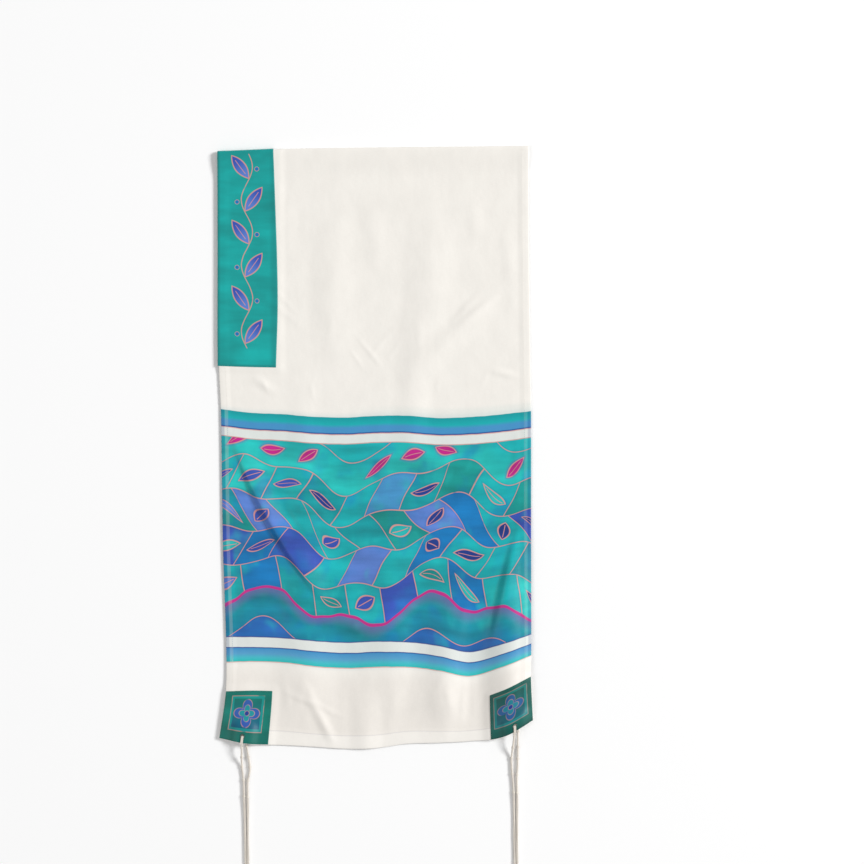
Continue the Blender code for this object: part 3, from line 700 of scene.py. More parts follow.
class Signal:
    """A number in a shader, which takes part in Python expressions."""

    __add__ = __radd__ = maths_method("ADD")
    __mul__ = __rmul__ = maths_method("MULTIPLY")
    __sub__, __rsub__ = maths_method("SUBTRACT"), maths_method("SUBTRACT", flipped=True)
    __truediv__ = maths_method("DIVIDE")
    __abs__ = maths_method("ABSOLUTE")
    floor, most = maths_method("FLOOR"), maths_method("MAXIMUM")
    sine, cosine = maths_method("SINE"), maths_method("COSINE")

    def __init__(self, bench: "Bench", socket: NodeSocket) -> None:
        """Wraps an output socket of a bench's material."""
        self.bench, self.socket = bench, socket

    def least(self, *others: Number) -> "Signal":
        """The smallest of these numbers."""
        found = self
        for other in others:
            found = self.bench.maths("MINIMUM", found, other)
        return found

    def rise(self, low: float, high: float) -> "Signal":
        """A smooth rise from 0 at low to 1 at high."""
        sockets = {"Value": self, "From Min": low, "From Max": high}
        node = self.bench.add("ShaderNodeMapRange", {"interpolation_type": "SMOOTHSTEP"}, sockets)
        return Signal(self.bench, node.outputs["Result"])

    def fall(self, low: float, high: float) -> "Signal":
        """A smooth fall from 1 at low to 0 at high."""
        return 1.0 - self.rise(low, high)

    def band(self, start: float, end: float, soft: float) -> "Signal":
        """One between two values and zero outside them, with soft edges."""
        return self.rise(start - soft, start + soft) * self.fall(end - soft, end + soft)

    def near(self, value: float, low: float, high: float) -> "Signal":
        """A line at a value: a smooth fall from 1 at low to 0 at high on both sides of it."""
        return abs(self - value).fall(low, high)

    def below_zero(self) -> "Signal":
        """One where the number is under zero, as it is inside a shape, with a sharp edge."""
        return self.fall(-SHARP, SHARP)

    def from_whole(self) -> "Signal":
        """How far a share from 0 to 1 is from either of them."""
        return self.least(1.0 - self)


Socket = Union[Signal, NodeSocket, Dye, float, Tuple[float, ...]]


class Bench:
    """A material being made: its node tree, and the tools that work on it."""

    def __init__(self, name: str) -> None:
        """Starts an empty material."""
        self.material = bpy.data.materials.new(name)
        self.material.use_nodes = True
        self.tree = self.material.node_tree
        self.tree.nodes.clear()

    def add(self, kind: str, settings: Dict, sockets: Dict[Union[int, str], Socket]) -> Node:
        """One node.

        Args:
            kind: The node's type.
            settings: What is set on the node first.
            sockets: A value, a dye or a link for each input, by its name or number.

        Returns:
            The node.
        """
        node = self.tree.nodes.new(kind)
        for key, value in settings.items():
            setattr(node, key, value)
        for key, value in sockets.items():
            source = value.socket if isinstance(value, Signal) else value
            if isinstance(source, NodeSocket):
                self.tree.links.new(source, node.inputs[key])
            else:
                node.inputs[key].default_value = source.value if isinstance(source, Dye) else source
        return node

    def maths(self, operation: str, *values: Number) -> Signal:
        """A Math node on numbers or signals."""
        node = self.add("ShaderNodeMath", {"operation": operation}, dict(enumerate(values)))
        return Signal(self, node.outputs[0])

    def join(self, x: Number, y: Number, z: Number = 0.0) -> NodeSocket:
        """A vector from three numbers."""
        return self.add("ShaderNodeCombineXYZ", {}, {0: x, 1: y, 2: z}).outputs[0]

    def split(self, whole: NodeSocket, kind: str = "XYZ") -> List[Signal]:
        """The three numbers of a vector or a colour."""
        node = self.add(f"ShaderNodeSeparate{kind}", {}, {0: whole})
        return [Signal(self, output) for output in node.outputs]

    def places(self) -> Tuple[Signal, Signal]:
        """How far across and along the cloth a point lies, in metres."""
        node = self.add("ShaderNodeUVMap", {"uv_map": PATTERN_MAP}, {})
        across, along, _ = self.split(node.outputs[0])
        return across, abs(along)

    def object_place(self) -> NodeSocket:
        """A point's place in the object, in metres."""
        return self.add("ShaderNodeTexCoord", {}, {}).outputs["Object"]

    def noise(self, at: NodeSocket, scale: float, detail: float = 2.0) -> Signal:
        """Soft noise from 0 to 1."""
        node = self.add("ShaderNodeTexNoise", {}, {"Vector": at, "Scale": scale, "Detail": detail})
        return Signal(self, node.outputs[0])

    def streaks(self, x: Signal, y: Signal, scales: Span, detail: float) -> Signal:
        """Noise from 0 to 1 that is stretched, with a scale across and one along the cloth."""
        return self.noise(self.join(x * scales[0], y * scales[1]), 1.0, detail)

    def chance(self, at: NodeSocket) -> List[Signal]:
        """Three even random numbers for a whole-number place."""
        node = self.add("ShaderNodeTexWhiteNoise", {"noise_dimensions": "3D"}, {"Vector": at})
        return self.split(node.outputs["Color"], "Color")

    def mix(self, amount: Socket, first: Socket, second: Socket, blend: str = "MIX") -> NodeSocket:
        """One colour laid over another by an amount from 0 to 1."""
        settings = {"data_type": "RGBA", "blend_type": blend, "clamp_factor": True}
        return self.add("ShaderNodeMix", settings, {0: amount, 6: first, 7: second}).outputs[2]

    def layers(self, base: Socket, *over: Tuple[Socket, Socket]) -> Socket:
        """Colours laid over a base one after another, each by its amount."""
        for amount, colour in over:
            base = self.mix(amount, base, colour)
        return base

    def ramp(self, at: Signal, stops: Stops, steps: str = "LINEAR") -> NodeSocket:
        """A colour for a number, from a row of stops."""
        node = self.add("ShaderNodeValToRGB", {}, {0: at})
        elements = node.color_ramp.elements
        while len(elements) < len(stops):
            elements.new(0.5)
        for element, (place, dye) in zip(elements, stops):
            element.position = place
            element.color = dye.value
        node.color_ramp.interpolation = steps
        return node.outputs[0]

    def grey(self, value: Signal) -> NodeSocket:
        """A grey colour from a number."""
        return self.add("ShaderNodeCombineColor", {}, {0: value, 1: value, 2: value}).outputs[0]

    def bump(
        self, height: Signal, strength: float, distance: float, under: Optional[Socket] = None
    ) -> NodeSocket:
        """A normal from a height, on top of another normal if there is one."""
        sockets = {"Strength": strength, "Distance": distance, "Height": height}
        if under is not None:
            sockets["Normal"] = under
        return self.add("ShaderNodeBump", {}, sockets).outputs[0]

    def finished(self, varying: Dict[str, Socket], fixed: Dict[str, Socket]) -> Material:
        """Ends the material with its shader.

        Args:
            varying: Links or values for the inputs that may change over the surface.
            fixed: Plain values for the other inputs.

        Returns:
            The material.
        """
        shader = self.add("ShaderNodeBsdfPrincipled", {}, {**varying, **fixed})
        self.add("ShaderNodeOutputMaterial", {}, {0: shader.outputs[0]})
        return self.material


def leaf_shape(
    along: Signal, across: Signal, tilt: Signal, half: float, reach: float
) -> Tuple[Signal, Signal, Signal]:
    """A painted leaf that is pointed at both ends.

    Args:
        along: Place along the leaf before it is tilted, from its middle.
        across: Place across it.
        tilt: Its angle in radians.
        half: Half its width.
        reach: Half its length.

    Returns:
        Place along the tilted leaf, distance from its vein, and a number under zero inside it.
    """
    cos, sin = tilt.cosine(), tilt.sine()
    lengthwise = along * cos + across * sin
    from_vein = abs(across * cos - along * sin)
    lens = from_vein - half * (1.0 - lengthwise * lengthwise * (1.0 / reach**2))
    return lengthwise, from_vein, lens


@dataclass(frozen=True)
class SilkFinish:
    """What all silks of the shawl share: sheen, slubs, brushed dye and outlines."""

    roughness: float = 0.46
    sheen: float = 0.14
    sheen_spread: float = 0.35
    specular: float = 0.35
    slub: float = 0.00025
    crinkle: float = 0.0011
    weft: Span = (160.0, 1500.0)
    warp: Span = (1700.0, 190.0)
    strokes: Span = (9.0, 42.0)

    def surface(self, bench: Bench, colour: Socket, x: Signal, y: Signal) -> Material:
        """The finished silk over a painted colour, with its weave, small creases and painted crease
        shade.
        """
        threads = bench.streaks(x, y, self.weft, 3.0)
        warp = bench.streaks(x, y, self.warp, 2.0)
        creases = bench.noise(bench.join(x * 1.6, y), 26.0, 3.0)
        weave = bench.bump(threads * 0.6 + warp * 0.4, 0.35, self.slub)
        # Weave tone, and painted shade: the colour darkens in the troughs of the small creases that
        # the bump draws
        tone = bench.grey(threads * 0.5 + creases * 0.6 + 0.42)
        varying = {
            "Base Color": bench.mix(0.16, colour, tone, "MULTIPLY"),
            "Roughness": self.roughness + (threads - 0.5) * 0.10 + (creases - 0.5) * 0.08,
            "Normal": bench.bump(creases, 0.5, self.crinkle, weave),
        }
        fixed = {
            "Sheen Weight": self.sheen,
            "Sheen Roughness": self.sheen_spread,
            "Specular IOR Level": self.specular,
            "IOR": 1.5,
        }
        return bench.finished(varying, fixed)

    def brushed(self, bench: Bench, colour: Socket, x: Signal, y: Signal, amount: float) -> Socket:
        """Dye laid on by brush: uneven in long soft strokes and pools."""
        strokes = bench.streaks(x, y, self.strokes, 3.0)
        pools = bench.noise(bench.join(x, y * 1.3), 13.0, 2.0)
        tone = 0.98 + (strokes - 0.5) * 1.1 + (pools - 0.5)
        return bench.mix(amount, colour, bench.grey(tone), "MULTIPLY")

    def outlined(
        self, bench: Bench, colour: Socket, line: Signal, shake: Signal, gaps: Span, amount: Number
    ) -> Socket:
        """The painter's outline laid over a colour.

        Args:
            bench: The material's bench.
            colour: What the outline lies on.
            line: One on the outline.
            shake: Noise round zero that breaks the line up.
            gaps: Between which of its values the line comes in.
            amount: How strong the line is.

        Returns:
            The colour with its outline.
        """
        return bench.mix(line * (shake + 0.5).rise(*gaps) * amount, colour, Dye.GUTTA)


@dataclass(frozen=True)
class PaintedSilk:
    """The white body silk with its painted stripes and the panel between them."""

    silk: SilkFinish
    width: float
    length: float
    upper_stripe: Span = (0.4292, 0.4566)
    panel: Span = (0.4718, 0.7924)
    lower_stripe: Span = (0.8093, 0.8334)
    soft: float = 0.0005
    stripe_line: float = 0.0006
    bottom_hem: float = 0.0200
    waves: float = 6.0
    swell: float = 0.31
    ripple: float = 0.127
    tiled: Span = (1.0, 5.0)
    cell: float = 0.056
    line: float = 0.0007
    leaf: Span = (0.0074, 0.0205)
    vein_end: Span = (0.015, 0.017)
    upper_dyes: Stops = (
        (0.0, Dye.TEAL), (0.42, Dye.TURQUOISE), (0.62, Dye.BLUE), (0.9, Dye.BLUE), (0.97, Dye.NAVY),
    )
    lower_dyes: Stops = (
        (0.02, Dye.NAVY), (0.1, Dye.BLUE), (0.45, Dye.SKY), (0.74, Dye.LAGOON), (1.0, Dye.AQUA),
    )
    tile_dyes: Stops = (
        (0.0, Dye.AQUA), (0.14, Dye.TURQUOISE), (0.30, Dye.PERIWINKLE), (0.40, Dye.TEAL),
        (0.53, Dye.SEA), (0.63, Dye.MID_BLUE), (0.76, Dye.INDIGO), (0.86, Dye.BLUE),
        (0.93, Dye.TURQUOISE),
    )
    row_dyes: Stops = ((0.0, Dye.MID_BLUE), (0.4, Dye.SEA), (0.7, Dye.INDIGO))
    leaf_dyes: Stops = (
        (0.0, Dye.INDIGO), (0.28, Dye.AQUA), (0.52, Dye.PERIWINKLE), (0.72, Dye.SEA),
        (0.86, Dye.NAVY),
    )

    def stripe(self, bench: Bench, base: Socket, y: Signal, ends: Span, dyes: Stops) -> Socket:
        """A stripe of dyes that run into each other, with a pink line along its lower edge."""
        start, end = ends
        colour = bench.ramp((y - start) / (end - start), dyes)
        pink = y.near(end + self.stripe_line, 0.0003, 0.0011)
        return bench.layers(base, (y.band(start, end, self.soft), colour), (pink * 0.75, Dye.GUTTA))

    def make(self) -> Material:
        """The material."""
        bench = Bench("painted_silk")
        x, y = bench.places()
        at = bench.join(x, y)
        drift, shake = (bench.noise(at, scale, 1.0) - 0.5 for scale in (11.0, 60.0))
        hand = y + shake * 0.0012
        first, last = self.upper_stripe[0], self.lower_stripe[1]
        tinge = hand.band(first - 0.014, first, 0.005) * x.rise(0.14, 0.38)
        laid = bench.mix(tinge * 0.09, self.white(bench, x, hand), Dye.TURQUOISE)
        laid = self.stripe(bench, laid, hand, self.upper_stripe, self.upper_dyes)
        laid = self.stripe(bench, laid, hand, self.lower_stripe, self.lower_dyes)
        from_side, from_end = x.least(self.width - x), self.length - y
        # Painted highlight: a lighter strip along the inside of each side hem, where its fold
        # catches the light, stronger on the left hem
        painted_hem_highlight = from_side.band(0.0062, 0.0114, 0.0010) * (x.fall(*MIDLINE) * 0.06 + 0.05)
        hem_dark = from_side.fall(0.0040, 0.0064) * hand.band(first, last, 0.002)
        laid = bench.layers(
            laid,
            (hand.band(*self.panel, self.soft), self.design(bench, x, y, drift, shake)),
            (hand.near(self.panel[0], 0.0004, 0.0012) * 0.7, Dye.GUTTA),
            (hand.near(self.panel[1], 0.0005, 0.0014) * 0.8, Dye.NAVY),
            (painted_hem_highlight, Dye.HEM_WHITE),
            (hem_dark * 0.30, Dye.NAVY),
            (from_end.fall(self.bottom_hem - 0.0012, self.bottom_hem) * 0.5, Dye.HEM_WHITE),
            (from_end.near(self.bottom_hem, 0.0004, 0.0013) * 0.10, Dye.NAVY),
        )
        return self.silk.surface(bench, laid, x, y)

    def white(self, bench: Bench, x: Signal, y: Signal) -> Socket:
        """The undyed silk: tinted between the stripes, shaded past them, and a little mottled."""
        first, last = self.upper_stripe[0], self.lower_stripe[1]
        past = y.rise(last, last + 0.03) * (self.length - y).rise(0.0188, 0.0206)
        return bench.layers(
            Dye.WHITE,
            (y.band(first - 0.004, last + 0.002, 0.006) * 0.55, Dye.MIST),
            (past * 0.4, Dye.SHADED_WHITE),
            (bench.noise(bench.join(x, y), 7.0, 2.0) * 0.25, Dye.HEM_WHITE),
        )

    def design(self, bench: Bench, x: Signal, y: Signal, drift: Signal, shake: Signal) -> Socket:
        """A made-up field of waves, slanting tiles and leaves, outlined as silk painters do.

        Args:
            bench: The material's bench.
            x: Place across the cloth.
            y: Place along it.
            drift: Slow noise round zero.
            shake: Quick noise round zero.

        Returns:
            The panel's colour.
        """
        start, end = self.panel
        length = end - start
        wave = length / self.waves
        along = (y + drift * 0.016 - start) / length
        across = x + drift * 0.014

        # Rows of waves, counted from the top, and slanting tiles in each
        swell = (across * (TURN / self.swell) + 0.4).sine() * 0.42
        ripple = (across * (TURN / self.ripple) + along * 5.0).sine() * 0.2
        level = along * self.waves + swell + ripple
        row = level.floor()
        in_row = level - row
        place = across / self.cell + row * 0.37 + (row * 2.4).sine() * 0.75 * in_row
        tile = place.floor()
        in_tile = place - tile
        hue, turn, kind = bench.chance(bench.join(row, tile, 3.0))
        row_hue = bench.chance(bench.join(row, 7.0, 1.0))[0]
        leaf_hue = bench.chance(bench.join(tile, row, 9.0))[0]
        is_top, is_tiled = level.band(0.0, 1.0, 0.001), level.band(*self.tiled, 0.001)
        high = bench.mix(level.rise(-0.4, 1.0), Dye.TURQUOISE, Dye.AQUA)
        low = bench.ramp(row_hue, self.row_dyes, "CONSTANT")
        low = bench.mix(level.rise(4.2, 6.6) * 0.6, low, Dye.MID_BLUE)
        plain = bench.mix(level.rise(2.9, 3.1), high, low)

        # A leaf in some of the tiles, and magenta ones in the top row
        leaf_x, leaf_y = (in_tile - 0.5) * self.cell, (in_row - 0.5) * wave
        lengthwise, from_vein, lens = leaf_shape(leaf_x, leaf_y, (turn - 0.5) * 1.9, *self.leaf)
        has_leaf = kind.rise(0.36, 0.37) * is_tiled + kind.rise(0.27, 0.28) * is_top
        leaves = bench.mix(is_top, bench.ramp(leaf_hue, self.leaf_dyes, "CONSTANT"), Dye.MAGENTA)
        inside = lens.below_zero() * has_leaf
        outside = 1.0 - inside

        # Distance from the nearest outline
        row_edge = in_row.from_whole() * wave
        tile_edge = in_tile.from_whole() * self.cell + (1.0 - is_tiled)
        leaf_edge = abs(lens) * 0.8 + (1.0 - has_leaf)
        vein = from_vein + outside + abs(lengthwise).rise(*self.vein_end)
        edge = row_edge.least(tile_edge, leaf_edge, vein * 1.5)

        # Dyes from the ground up, then the outlines and the magenta crest with its bleeding edge
        wash = bench.noise(bench.join(across, along * 0.25, hue * is_tiled * 5.0), 21.0, 2.0)
        colour = bench.layers(
            plain,
            (is_tiled, bench.ramp(hue, self.tile_dyes, "CONSTANT")),
            (lens.fall(0.0, 0.006) * is_top * has_leaf * 0.45, Dye.PLUM),
            (inside, leaves),
            (wash.rise(0.50, 0.74) * 0.55 * outside, Dye.MID_BLUE),
            (wash.fall(0.28, 0.46) * 0.45 * outside, Dye.AQUA),
        )
        colour = self.silk.brushed(bench, colour, across, y, 0.85)
        past = level - self.tiled[1]
        bleed = past.rise(-0.02, 0.03) * past.fall(0.0, 0.42)
        pooled = edge.fall(0.0, 0.0045)
        colour = bench.layers(colour, (pooled * 0.25, Dye.NAVY), (bleed * 0.6, Dye.PLUM))
        line = edge.fall(self.line * 0.55, self.line * 1.5)
        colour = self.silk.outlined(bench, colour, line, shake, (0.12, 0.42), 0.9)
        crest = abs(past + (across * 210.0).sine() * 0.015) * wave
        return bench.mix(crest.fall(0.0014, 0.0032) * 0.95, colour, Dye.MAGENTA)


@dataclass(frozen=True)
class NeckbandSilk:
    """The neckband's teal silk, with a painted vine of leaves and berries along its middle."""

    silk: SilkFinish
    middle: float = 0.0455
    half_length: float = 0.3515
    step_length: float = 0.0535
    vine: Span = (0.006, 0.3212)
    sway: float = 0.009
    leaf_off: float = 0.0105
    leaf_tilt: float = 0.62
    leaf: Span = (0.0088, 0.0235)
    vein_end: Span = (0.014, 0.016)
    berry_off: float = 0.016
    berry_along: float = 0.004

    def make(self) -> Material:
        """The material."""
        bench = Bench("neckband_silk")
        x, y = bench.places()
        shake = bench.noise(bench.join(x, y), 60.0, 1.0) - 0.5
        off = x - self.middle + shake * 0.001
        stem = off - (y * (math.pi / self.step_length)).sine() * self.sway
        on_vine = y.band(*self.vine, 0.0004)

        # One leaf and one berry in each step, on either side of the stem by turns
        number = (y / self.step_length).floor()
        along = y - (number + 0.5) * self.step_length
        side = 1.0 - 2.0 * (number - (number * 0.5).floor() * 2.0)
        leaf_x = off + side * self.leaf_off
        lengthwise, from_vein, lens = leaf_shape(along, leaf_x, side * self.leaf_tilt, *self.leaf)
        leaf = lens.below_zero() * on_vine
        berry_x, berry_y = off - side * self.berry_off, along - self.berry_along
        berry = (berry_x * berry_x + berry_y * berry_y) * 1.0e5
        from_edge = (x + 0.002).least(self.half_length - y)
        colour = bench.layers(
            self.silk.brushed(bench, Dye.BAND_TEAL, x, y, 0.75),
            (from_edge.fall(0.002, 0.0055) * 0.55, Dye.BAND_DEEP),
            ((x - self.middle).rise(0.034, 0.043) * 0.5, Dye.BAND_DEEP),
            (leaf, bench.mix(lengthwise.rise(-0.016, 0.016), Dye.INDIGO, Dye.PERIWINKLE)),
            (berry.fall(0.9, 1.1) * on_vine, Dye.MID_BLUE),
        )
        vein = from_vein + (1.0 - leaf) + abs(lengthwise).rise(*self.vein_end)
        edge = (abs(lens) * 0.8).least(abs(stem), abs(berry - 1.2) * 0.003, vein * 1.5)
        line = edge.fall(0.0004, 0.0011) * on_vine
        colour = self.silk.outlined(bench, colour, line, shake, (0.1, 0.35), 0.9)
        return self.silk.surface(bench, colour, x, y)


@dataclass(frozen=True)
class PatchSilk:
    """The corner patches' dark silk, with a painted four-petal flower; the right-hand patches are
    darker, with a softer flower.
    """

    silk: SilkFinish
    width: float
    middle: Span = (0.0385, 0.9165)
    right_middle: float = 0.0345
    flower: Span = (0.011, 0.0095)
    heart: Span = (0.007, 0.0055)
    eye: float = 0.0036
    border: float = 0.0262
    border_width: float = 0.0042

    def make(self) -> Material:
        """The material."""
        bench = Bench("patch_silk")
        x, y = bench.places()
        shake = bench.noise(bench.join(x, y), 70.0, 1.0) - 0.5
        is_right = x.rise(*MIDLINE)
        inwards = is_right * (self.middle[0] - self.right_middle)
        off_x = x.least(self.width - x) - self.middle[0] + inwards + shake * 0.0012
        off_y = y - self.middle[1]
        radius = bench.maths("SQRT", off_x * off_x + off_y * off_y)
        angle = bench.maths("ARCTAN2", off_y, off_x)
        petals = abs((angle * 2.0).cosine())
        flower, heart = (
            radius - (petals * swing + base) for swing, base in (self.flower, self.heart)
        )
        ring = abs(off_x).most(abs(off_y)) - self.border
        ground = ring.below_zero() * off_y.rise(-0.03, 0.02)
        border = ring.band(-self.border_width, 0.0, 0.0003)
        # The right-hand patches are laid darker with a weaker motif, and the ground inside the
        # border darkens towards the hem
        base = bench.mix(is_right * 0.75, Dye.PATCH_TEAL, Dye.PATCH_DEEP)
        colour = bench.layers(
            self.silk.brushed(bench, base, x, y, 0.75),
            (ground * (0.65 - is_right * 0.3), Dye.DEEP_BLUE),
            (border * (0.8 - is_right * 0.35), Dye.SEA),
            (flower.below_zero() * (0.75 - is_right * 0.3), Dye.INDIGO),
            (heart.below_zero() * (0.8 - is_right * 0.3), Dye.SEA),
            (radius.fall(self.eye - SHARP, self.eye + SHARP), Dye.NAVY),
        )
        colour = self.silk.brushed(bench, colour, x, y, 0.35)
        edge = (abs(flower) * 0.8).least(abs(heart) * 0.9, abs(ring), abs(radius - self.eye))
        line, amount = edge.fall(0.0003, 0.0009), 0.55 - is_right * 0.2
        colour = self.silk.outlined(bench, colour, line, shake, (0.25, 0.48), amount)
        return self.silk.surface(bench, colour, x, y)


@dataclass(frozen=True)
class YarnFinish:
    """Matte twisted yarn or thread of one colour."""

    name: str
    dye: Dye
    roughness: float = 0.85
    fuzz: float = 0.0003

    def make(self) -> Material:
        """The material."""
        bench = Bench(self.name)
        at = bench.object_place()
        fibres, patches = (bench.noise(at, scale, 2.0) for scale in (2600.0, 90.0))
        tone = bench.grey(0.74 + fibres * 0.28 + patches * 0.14)
        varying = {
            "Base Color": bench.mix(0.7, self.dye, tone, "MULTIPLY"),
            "Roughness": self.roughness + (patches - 0.5) * 0.1,
            "Normal": bench.bump(fibres, 0.4, self.fuzz),
        }
        return bench.finished(varying, {"Sheen Weight": 0.3, "Sheen Roughness": 0.5})


@dataclass(frozen=True)
class HemThreadFinish:
    """Silk thread of the hems, white but for the run that crosses the painted panel."""

    painted: Span
    roughness: float = 0.6

    def make(self) -> Material:
        """The material."""
        bench = Bench("hem_thread")
        at = bench.object_place()
        dyed = bench.split(at)[1].band(*self.painted, 0.003)
        drift = bench.noise(at, 30.0, 1.0)
        dye = bench.mix(drift.rise(0.4, 0.6), Dye.TEAL, Dye.MID_BLUE)
        colour = bench.mix(dyed * 0.8, Dye.WHITE_THREAD, dye)
        varying = {"Base Color": colour, "Roughness": self.roughness}
        return bench.finished(varying, {"Sheen Weight": 0.3})


@dataclass(frozen=True)
class FloorFinish:
    """The plain pale floor."""

    tone: float = 0.97

    def make(self) -> Material:
        """The material."""
        varying = {"Base Color": (self.tone, self.tone, self.tone, 1.0), "Roughness": 0.9}
        return Bench("floor").finished(varying, {"Specular IOR Level": 0.1})


def spoke(angle: Array, side: Array, up: Array) -> Array:
    """The direction at an angle from a side direction towards an up direction."""
    return np.cos(angle)[..., None] * side + np.sin(angle)[..., None] * up


def beside(ahead: Array) -> Tuple[Array, Array]:
    """A level direction across a way ahead, and the one that is upright to both."""
    side = unit(np.cross(ahead, UP))
    return side, np.cross(side, ahead)


def tube_faces(rings: int, sides: int) -> Faces:
    """Faces of a tube over rings of points, closed at both ends."""
    last = (rings - 1) * sides
    faces: Faces = [tuple(range(sides))]
    for start in range(0, last, sides):
        for k in range(sides):
            after = (k + 1) % sides
            faces.append((start + k, start + sides + k, start + sides + after, start + after))
    faces.append(tuple(reversed(range(last, last + sides))))
    return faces


def yarn(path: Array, radius: Union[float, Array], sides: int, side: Array, twist: float) -> Shape:
    """A closed yarn along a path, with plies that wind round each other.

    Args:
        path: Points of its middle, in millimetres.
        radius: Its radius, one for all points or one for each.
        sides: Corners of its section.
        side: A direction across its start.
        twist: Length of one full turn of the plies, in millimetres.

    Returns:
        Points and faces.
    """
    ahead = unit(np.gradient(path, axis=0))
    across = np.zeros_like(path)
    for index, direction in enumerate(ahead):
        side = unit(side - direction * (side @ direction))
        across[index] = side
    angles = np.arange(sides) * TURN / sides
    phase = TURN * lengths_along(path) / twist
    lobes = 1.0 + PLY_DEPTH * np.cos(PLIES * (angles[None, :] - phase[:, None]))
    reach = np.broadcast_to(radius, len(path))[:, None] * lobes
    spokes = spoke(angles, across[:, None, :], np.cross(across, ahead)[:, None, :])
    rings = path[:, None, :] + reach[..., None] * spokes
    return rings.reshape(-1, 3), tube_faces(len(path), sides)


def combined(parts: Sequence[Shape]) -> Shape:
    """Points and faces of several shapes as one."""
    faces: Faces = []
    start = 0
    for points, part_faces in parts:
        faces += [tuple(index + start for index in face) for face in part_faces]
        start += len(points)
    return np.concatenate([points for points, _ in parts]), faces


def declared(piece: Object, nodes: Sequence[str] = ()) -> Object:
    """Rides a piece on the only body, and hides the CAD nodes it stands for."""
    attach(piece, "root")
    if nodes:
        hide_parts(*nodes)
    LOG.info("%s: %d faces", piece.name, len(piece.data.polygons))
    return piece


@dataclass
class Seam:
    """A row of small stitches along a line on the cloth's outer face."""

    sheet: FoldedSheet
    across: Array
    rows: Array
    out: float
    pitch: float = 3.0
    length: float = 2.0
    radius: float = 0.17
    sides: int = 5
    probe: float = 0.5

    # Along one stitch: place and thickness as shares of its length and radius, and height
    profile: Tuple = ((-0.5, 0.35, -0.1), (-0.36, 1.0, 0.02), (0.36, 1.0, 0.02), (0.5, 0.35, -0.1))

    def made(self) -> Shape:
        """Points and faces of all stitches of the row."""
        path, normal = self.sheet.outer_face(self.across, self.rows, self.out)
        gone = lengths_along(path)

        def read(values: Array, at: Array) -> Array:
            """Values of the path at lengths along it."""
            return np.stack([np.interp(at, gone, line) for line in values.T], axis=-1)

        middles = np.arange(self.pitch * 0.5, gone[-1] - self.pitch * 0.4, self.pitch)
        along, thick, height = np.array(self.profile).T
        at = middles[:, None] + along * self.length
        up = read(normal, at)
        side = np.cross(unit(read(path, at + self.probe) - read(path, at - self.probe)), up)
        centre = read(path, at) + up * height[:, None]
        angles = np.arange(self.sides) * TURN / self.sides
        spokes = spoke(angles, side[:, :, None, :], up[:, :, None, :])
        rings = centre[:, :, None, :] + spokes * (thick * self.radius)[:, None, None]
        faces = tube_faces(len(along), self.sides)
        return combined([(ring.reshape(-1, 3), faces) for ring in rings])


@dataclass(frozen=True)
class TasselPlan:
    """Where one tassel runs, in millimetres from the centre line and the fold."""

    name: str
    side: Side
    half: Half
    hole: float
    x: Tuple[float, ...]

    # How far from the fold the knots, the bundle and the end lie on each side
    down = {
        Side.LEFT: (964.6, 992.0, 1017.7, 1041.8, 1096.4, 1151.1, 1209.0, 1252.4),
        Side.RIGHT: (946.9, 983.9, 1012.9, 1035.4, 1096.4, 1151.1, 1206.0, 1244.0),
    }
    back_later = (0.0, 4.0, 2.0, 2.0, 0.0, 0.0, 2.0, 3.0)

    def places(self) -> Array:
        """Distances from the fold of the eight places."""
        later = self.back_later if self.half is Half.BACK else (0.0,) * len(self.back_later)
        return np.array(self.down[self.side]) + np.array(later)

    def last_knot(self) -> float:
        """Share of the whole way at which the last knot sits."""
        places = self.places()
        return float((places[3] - places[0]) / (places[-1] - places[0]))

    def level_path(self, shares: Array) -> Tuple[Array, Array]:
        """Place across and along at shares of the way from the first knot to the end."""
        places = self.places()
        at = places[0] + shares * (places[-1] - places[0])
        return curve(at, places, self.x), -at


TASSEL_PLANS = (
    TasselPlan("tassel_front_left", Side.LEFT, Half.FRONT, 0.0727,
               (-213.5, -213.8, -211.2, -210.6, -209.0, -208.0, -208.7, -210.0)),
    TasselPlan("tassel_back_left", Side.LEFT, Half.BACK, 0.0874,
               (-206.0, -201.0, -204.3, -204.3, -204.2, -203.8, -202.6, -200.6)),
    TasselPlan("tassel_front_right", Side.RIGHT, Half.FRONT, 0.9410,
               (223.6, 219.3, 221.2, 222.8, 223.8, 224.4, 223.5, 221.9)),
    TasselPlan("tassel_back_right", Side.RIGHT, Half.BACK, 0.9542,
               (229.6, 229.4, 228.1, 228.6, 228.5, 228.6, 230.2, 232.5)),
)


